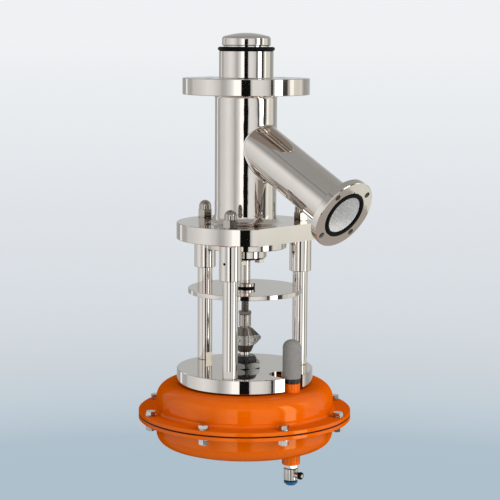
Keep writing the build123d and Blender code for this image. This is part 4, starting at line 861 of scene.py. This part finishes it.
# %% [markdown]
# The seams at the tube's two ends are plain rings. Their outline is the same kind of
# arc, from the tube to the flange, carried once round the upright axis. A Screw
# modifier could carry it too; a grid keeps its faces as even as the other seam's.
# Each row holds the flange's level, the way that the tube leaves it, and the ball.

# %% Fillets at the tube's ends
ROUND_STEPS, END_ARC_STEPS = 128, 16
TUBE_TOP, BASE_TOP = -0.0234, -0.2063
END_WELDS = {"tube_foot_weld": (BASE_TOP, 1.0, 0.0132), "tube_head_weld": (TUBE_TOP, -1.0, 0.0062)}


def turned_grid(outline, count=ROUND_STEPS, origin=(0, 0, 0), x=(1, 0, 0), y=(0, 1, 0), z=(0, 0, 1)):
    """Outline of (radius, height) carried round: origin + radius * (x * cos + y * sin) + height * z."""
    a = np.linspace(0, 2 * np.pi, count, endpoint=False)
    ring = np.outer(np.cos(a), x) + np.outer(np.sin(a), y)
    rises = outline[:, 1, None, None] * np.asarray(z)
    return np.asarray(origin) + outline[:, 0, None, None] * ring + rises


for name, (level, away, ball) in END_WELDS.items():
    a = np.linspace(np.pi, 1.5 * np.pi, END_ARC_STEPS)
    arc = np.stack([TUBE_R + ball * (1 + np.cos(a)), level + away * ball * (1 + np.sin(a))], axis=1)
    corner = [[TUBE_R - BURIED, level - away * BURIED]]
    ring = turned_grid(np.concatenate([arc, corner]))
    weld = grid_mesh(name, outward(ring), close_rows=True, close_columns=True)
    crisp(weld)
    add_piece(weld, "valve", "drawn_steel")
print("end welds:", ", ".join(END_WELDS))

# %% [markdown]
# ## Screw threads
# A thread is a wall whose radius depends on height and on the way round together: a
# triangle wave that moves up by one pitch in each turn. Grooves cut into a cylinder
# would need a boolean; here the wave is simply the radius of a grid.

# %% Thread on the stem
PITCH = 0.0015
RIDGE = 0.0005
ROWS_PER_PITCH = 8
STEM_THREAD = dict(radius=0.00502, inner=0.0046, low=-0.3366, high=-0.3171, grow=RIDGE)


def thread_grid(radius, inner, low, high, grow, count=48, origin=(0, 0, 0), **axes):
    """Ring from low to high: one wall is plain, at inner, and the other is threaded, at
    radius + grow * triangle wave of (height / pitch - turn)."""
    rows = int((high - low) / PITCH * ROWS_PER_PITCH) + 1
    heights = np.linspace(low, high, rows)
    a = np.linspace(0, 2 * np.pi, count, endpoint=False)
    phase = (heights[:, None] / PITCH - a[None, :] / (2 * np.pi)) % 1.0
    wall = radius + grow * (1 - np.abs(2 * phase - 1))
    walls = np.concatenate([wall, np.full((2, count), inner)])
    unit = np.stack([np.ones(rows + 2), np.concatenate([heights, [high, low]])], axis=1)
    middle = turned_grid(unit * [0, 1], count, origin, **axes)
    ring = turned_grid(unit * [1, 0], count, **axes)
    return middle + walls[..., None] * ring


def thread_piece(name, body, grid):
    """Closed sleeve of a thread grid, in the dark steel of threads."""
    piece = grid_mesh(name, outward(grid), close_rows=True, close_columns=True)
    add_piece(piece, body, "thread_steel")
    return piece


stem_thread = thread_piece("stem_thread", "stem", thread_grid(**STEM_THREAD))
print("stem_thread:", len(stem_thread.data.polygons), "faces")

# %% [markdown]
# The four holes of the outlet flange are tapped. Each gets a thin threaded liner that
# stands on the hole's own axis, which slants with the outlet.

# %% Threads in the outlet flange
HOLE_CIRCLE, HOLE_R, FLANGE_REACH = 0.0425, 0.0045, 0.214
HOLE_THREAD = dict(radius=HOLE_R - 0.0001, inner=HOLE_R, low=-0.0108, high=-0.0004, grow=-RIDGE,
                   count=32)

sideways = np.array([0.0, 1.0, 0.0])
upwards = np.cross(outlet_axis, sideways)
for number in range(4):
    a = np.radians(45 + 90 * number)
    off_axis = HOLE_CIRCLE * (np.cos(a) * sideways + np.sin(a) * upwards)
    middle = OUTLET_ROOT + FLANGE_REACH * outlet_axis + off_axis
    grid = thread_grid(**HOLE_THREAD, origin=middle, x=sideways, y=upwards, z=outlet_axis)
    thread_piece(f"outlet_hole_thread_{number + 1}", "valve", grid)
print("threads: one on the stem, four in the outlet flange")

# %% [markdown]
# ## Set screws in the stop sleeves
# A small dark set screw sits a little below the surface of each stop sleeve. It could
# be a dark dot in the sleeve's finish, but a real recess catches the light. Its
# outline is a short bar with a hollow in its end, carried round the hole's own axis.

# %% Set screws
COLUMN_RING, SLEEVE_MIDDLE, SCREW_R = 0.0836, -0.2554, 0.00195
SCREW_TURN = 17.0
MILLIMETRE = 0.001
COLUMN_ANGLES = {"rear": 180.0, "front": 300.0, "side": 60.0}
SCREW_OUTLINE = np.array([[0.0, 11.2], [1.0, 11.2], [1.0, 14.6], [0.8, 14.9], [0.55, 14.9], [0.5, 13.2],
                          [0.0, 13.0]]) * [SCREW_R, MILLIMETRE]

for name, column_angle in COLUMN_ANGLES.items():
    a, b = np.radians(column_angle), np.radians(column_angle - SCREW_TURN)
    origin = np.array([COLUMN_RING * np.cos(a), COLUMN_RING * np.sin(a), SLEEVE_MIDDLE])
    axis = np.array([np.cos(b), np.sin(b), 0.0])
    grid = turned_grid(SCREW_OUTLINE, 24, origin, x=np.cross(up, axis), y=up, z=axis)
    screw = grid_mesh("sleeve_screw_" + name, outward(grid), close_columns=True, poles=True)
    crisp(screw)
    add_piece(screw, "valve", "black_screw")
print("set screws:", len(COLUMN_ANGLES))

# %% [markdown]
# ## Springs and diaphragm that follow the lift
# When the plug lifts, the two springs shorten and the diaphragm flattens. The solids
# are rigid, and a shape key would need a driver, so merged copies of them stand in,
# carried by the valve, while the solids are hidden. The copies are not pressed
# together as the stem travels. Each row holds the height of the end that stays put,
# the slot and the finish.

# %% Springs and diaphragm
GIVING = {
    "outer_spring": (-0.446, "spring_steel", "spring_wire"),
    "inner_spring": (-0.446, "spring_steel", "spring_wire"),
    "diaphragm": (-0.4861, "black_rubber", "rubber"),
}

for name, (fixed_end, slot_name, finish) in GIVING.items():
    mesh = nodes[name].data.copy()
    mesh.materials.clear()
    merge_doubles(mesh)
    piece = bpy.data.objects.new(name + "_giving", mesh)
    bpy.context.collection.objects.link(piece)
    crisp(piece)
    add_piece(piece, "valve", finish)
    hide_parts(name)
    depth = fixed_end - np.array(piece.bound_box)[:, 2].min()
    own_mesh(piece)

# %% [markdown]
# ## Dressing the solids
# Each solid keeps its shape and gets its finish. The finish could be guessed from
# words in a solid's name, but a plain list by finish shows which pieces share one,
# and the cell names any piece that is left bare.

# %% Dress the solids
WEAR = {
    "drawn_steel": ["body_tube"],
    "buffed_steel": ["plug", "valve_stem", "disc_slotted_nut", "actuator_stem",
                     "column_rear", "column_front", "column_side",
                     "stop_sleeve_rear", "stop_sleeve_front", "stop_sleeve_side"],
    "turned_steel": ["tank_flange", "base_flange", "bonnet", "gland", "yoke_plate", "guide_disc",
                     "seal_cartridge", "piston_plate", "backing_plate", "actuator_hub"],
    "outlet_steel": ["outlet_tube", "outlet_flange"],
    "nut_steel": ["dome_nuts", "bonnet_screws", "disc_lower_nut", "coupling_link", "piston_nut"],
    "bolt_steel": ["gland_bolts", "gland_washers"],
    "screw_steel": ["coupling_screws", "rim_bolts", "rim_nuts", "rim_washers",
                    "fitting_stud", "fitting_body", "flow_screw"],
    "cast_steel": ["coupling_half_front", "coupling_half_rear"],
    "dark_steel": ["plate_nut"],
    "thread_steel": ["coupling_lock_nut"],
    "spring_wire": ["outer_spring", "inner_spring"],
    "bronze": ["stem_guide_bush", "hub_guide_bush"],
    "orange_enamel": ["upper_shell", "lower_shell"],
    "rubber": ["seat_ring", "outlet_gasket", "cartridge_orings", "diaphragm", "disc_washer",
               "fitting_arm_nut", "hub_rod_seal"],
    "black_plastic": ["silencer_collar", "stem_wiper"],
    "blue_plastic": ["release_collar"],
    "seal_white": ["packing_rings", "stem_lip_seal"],
    "porous_grey": ["silencer"],
}

for finish, names in WEAR.items():
    for name in names:
        nodes[name].material_slots[0].material = finishes[finish]
dressed = sorted(name for names in WEAR.values() for name in names)
print("dressed:", len(dressed), "left bare:", sorted(set(nodes) - set(dressed)))

# %% [markdown]
# ## Finish
# The last line sets the view transform to Standard.

# %% Set the view transform
bpy.context.scene.view_settings.view_transform = "Standard"
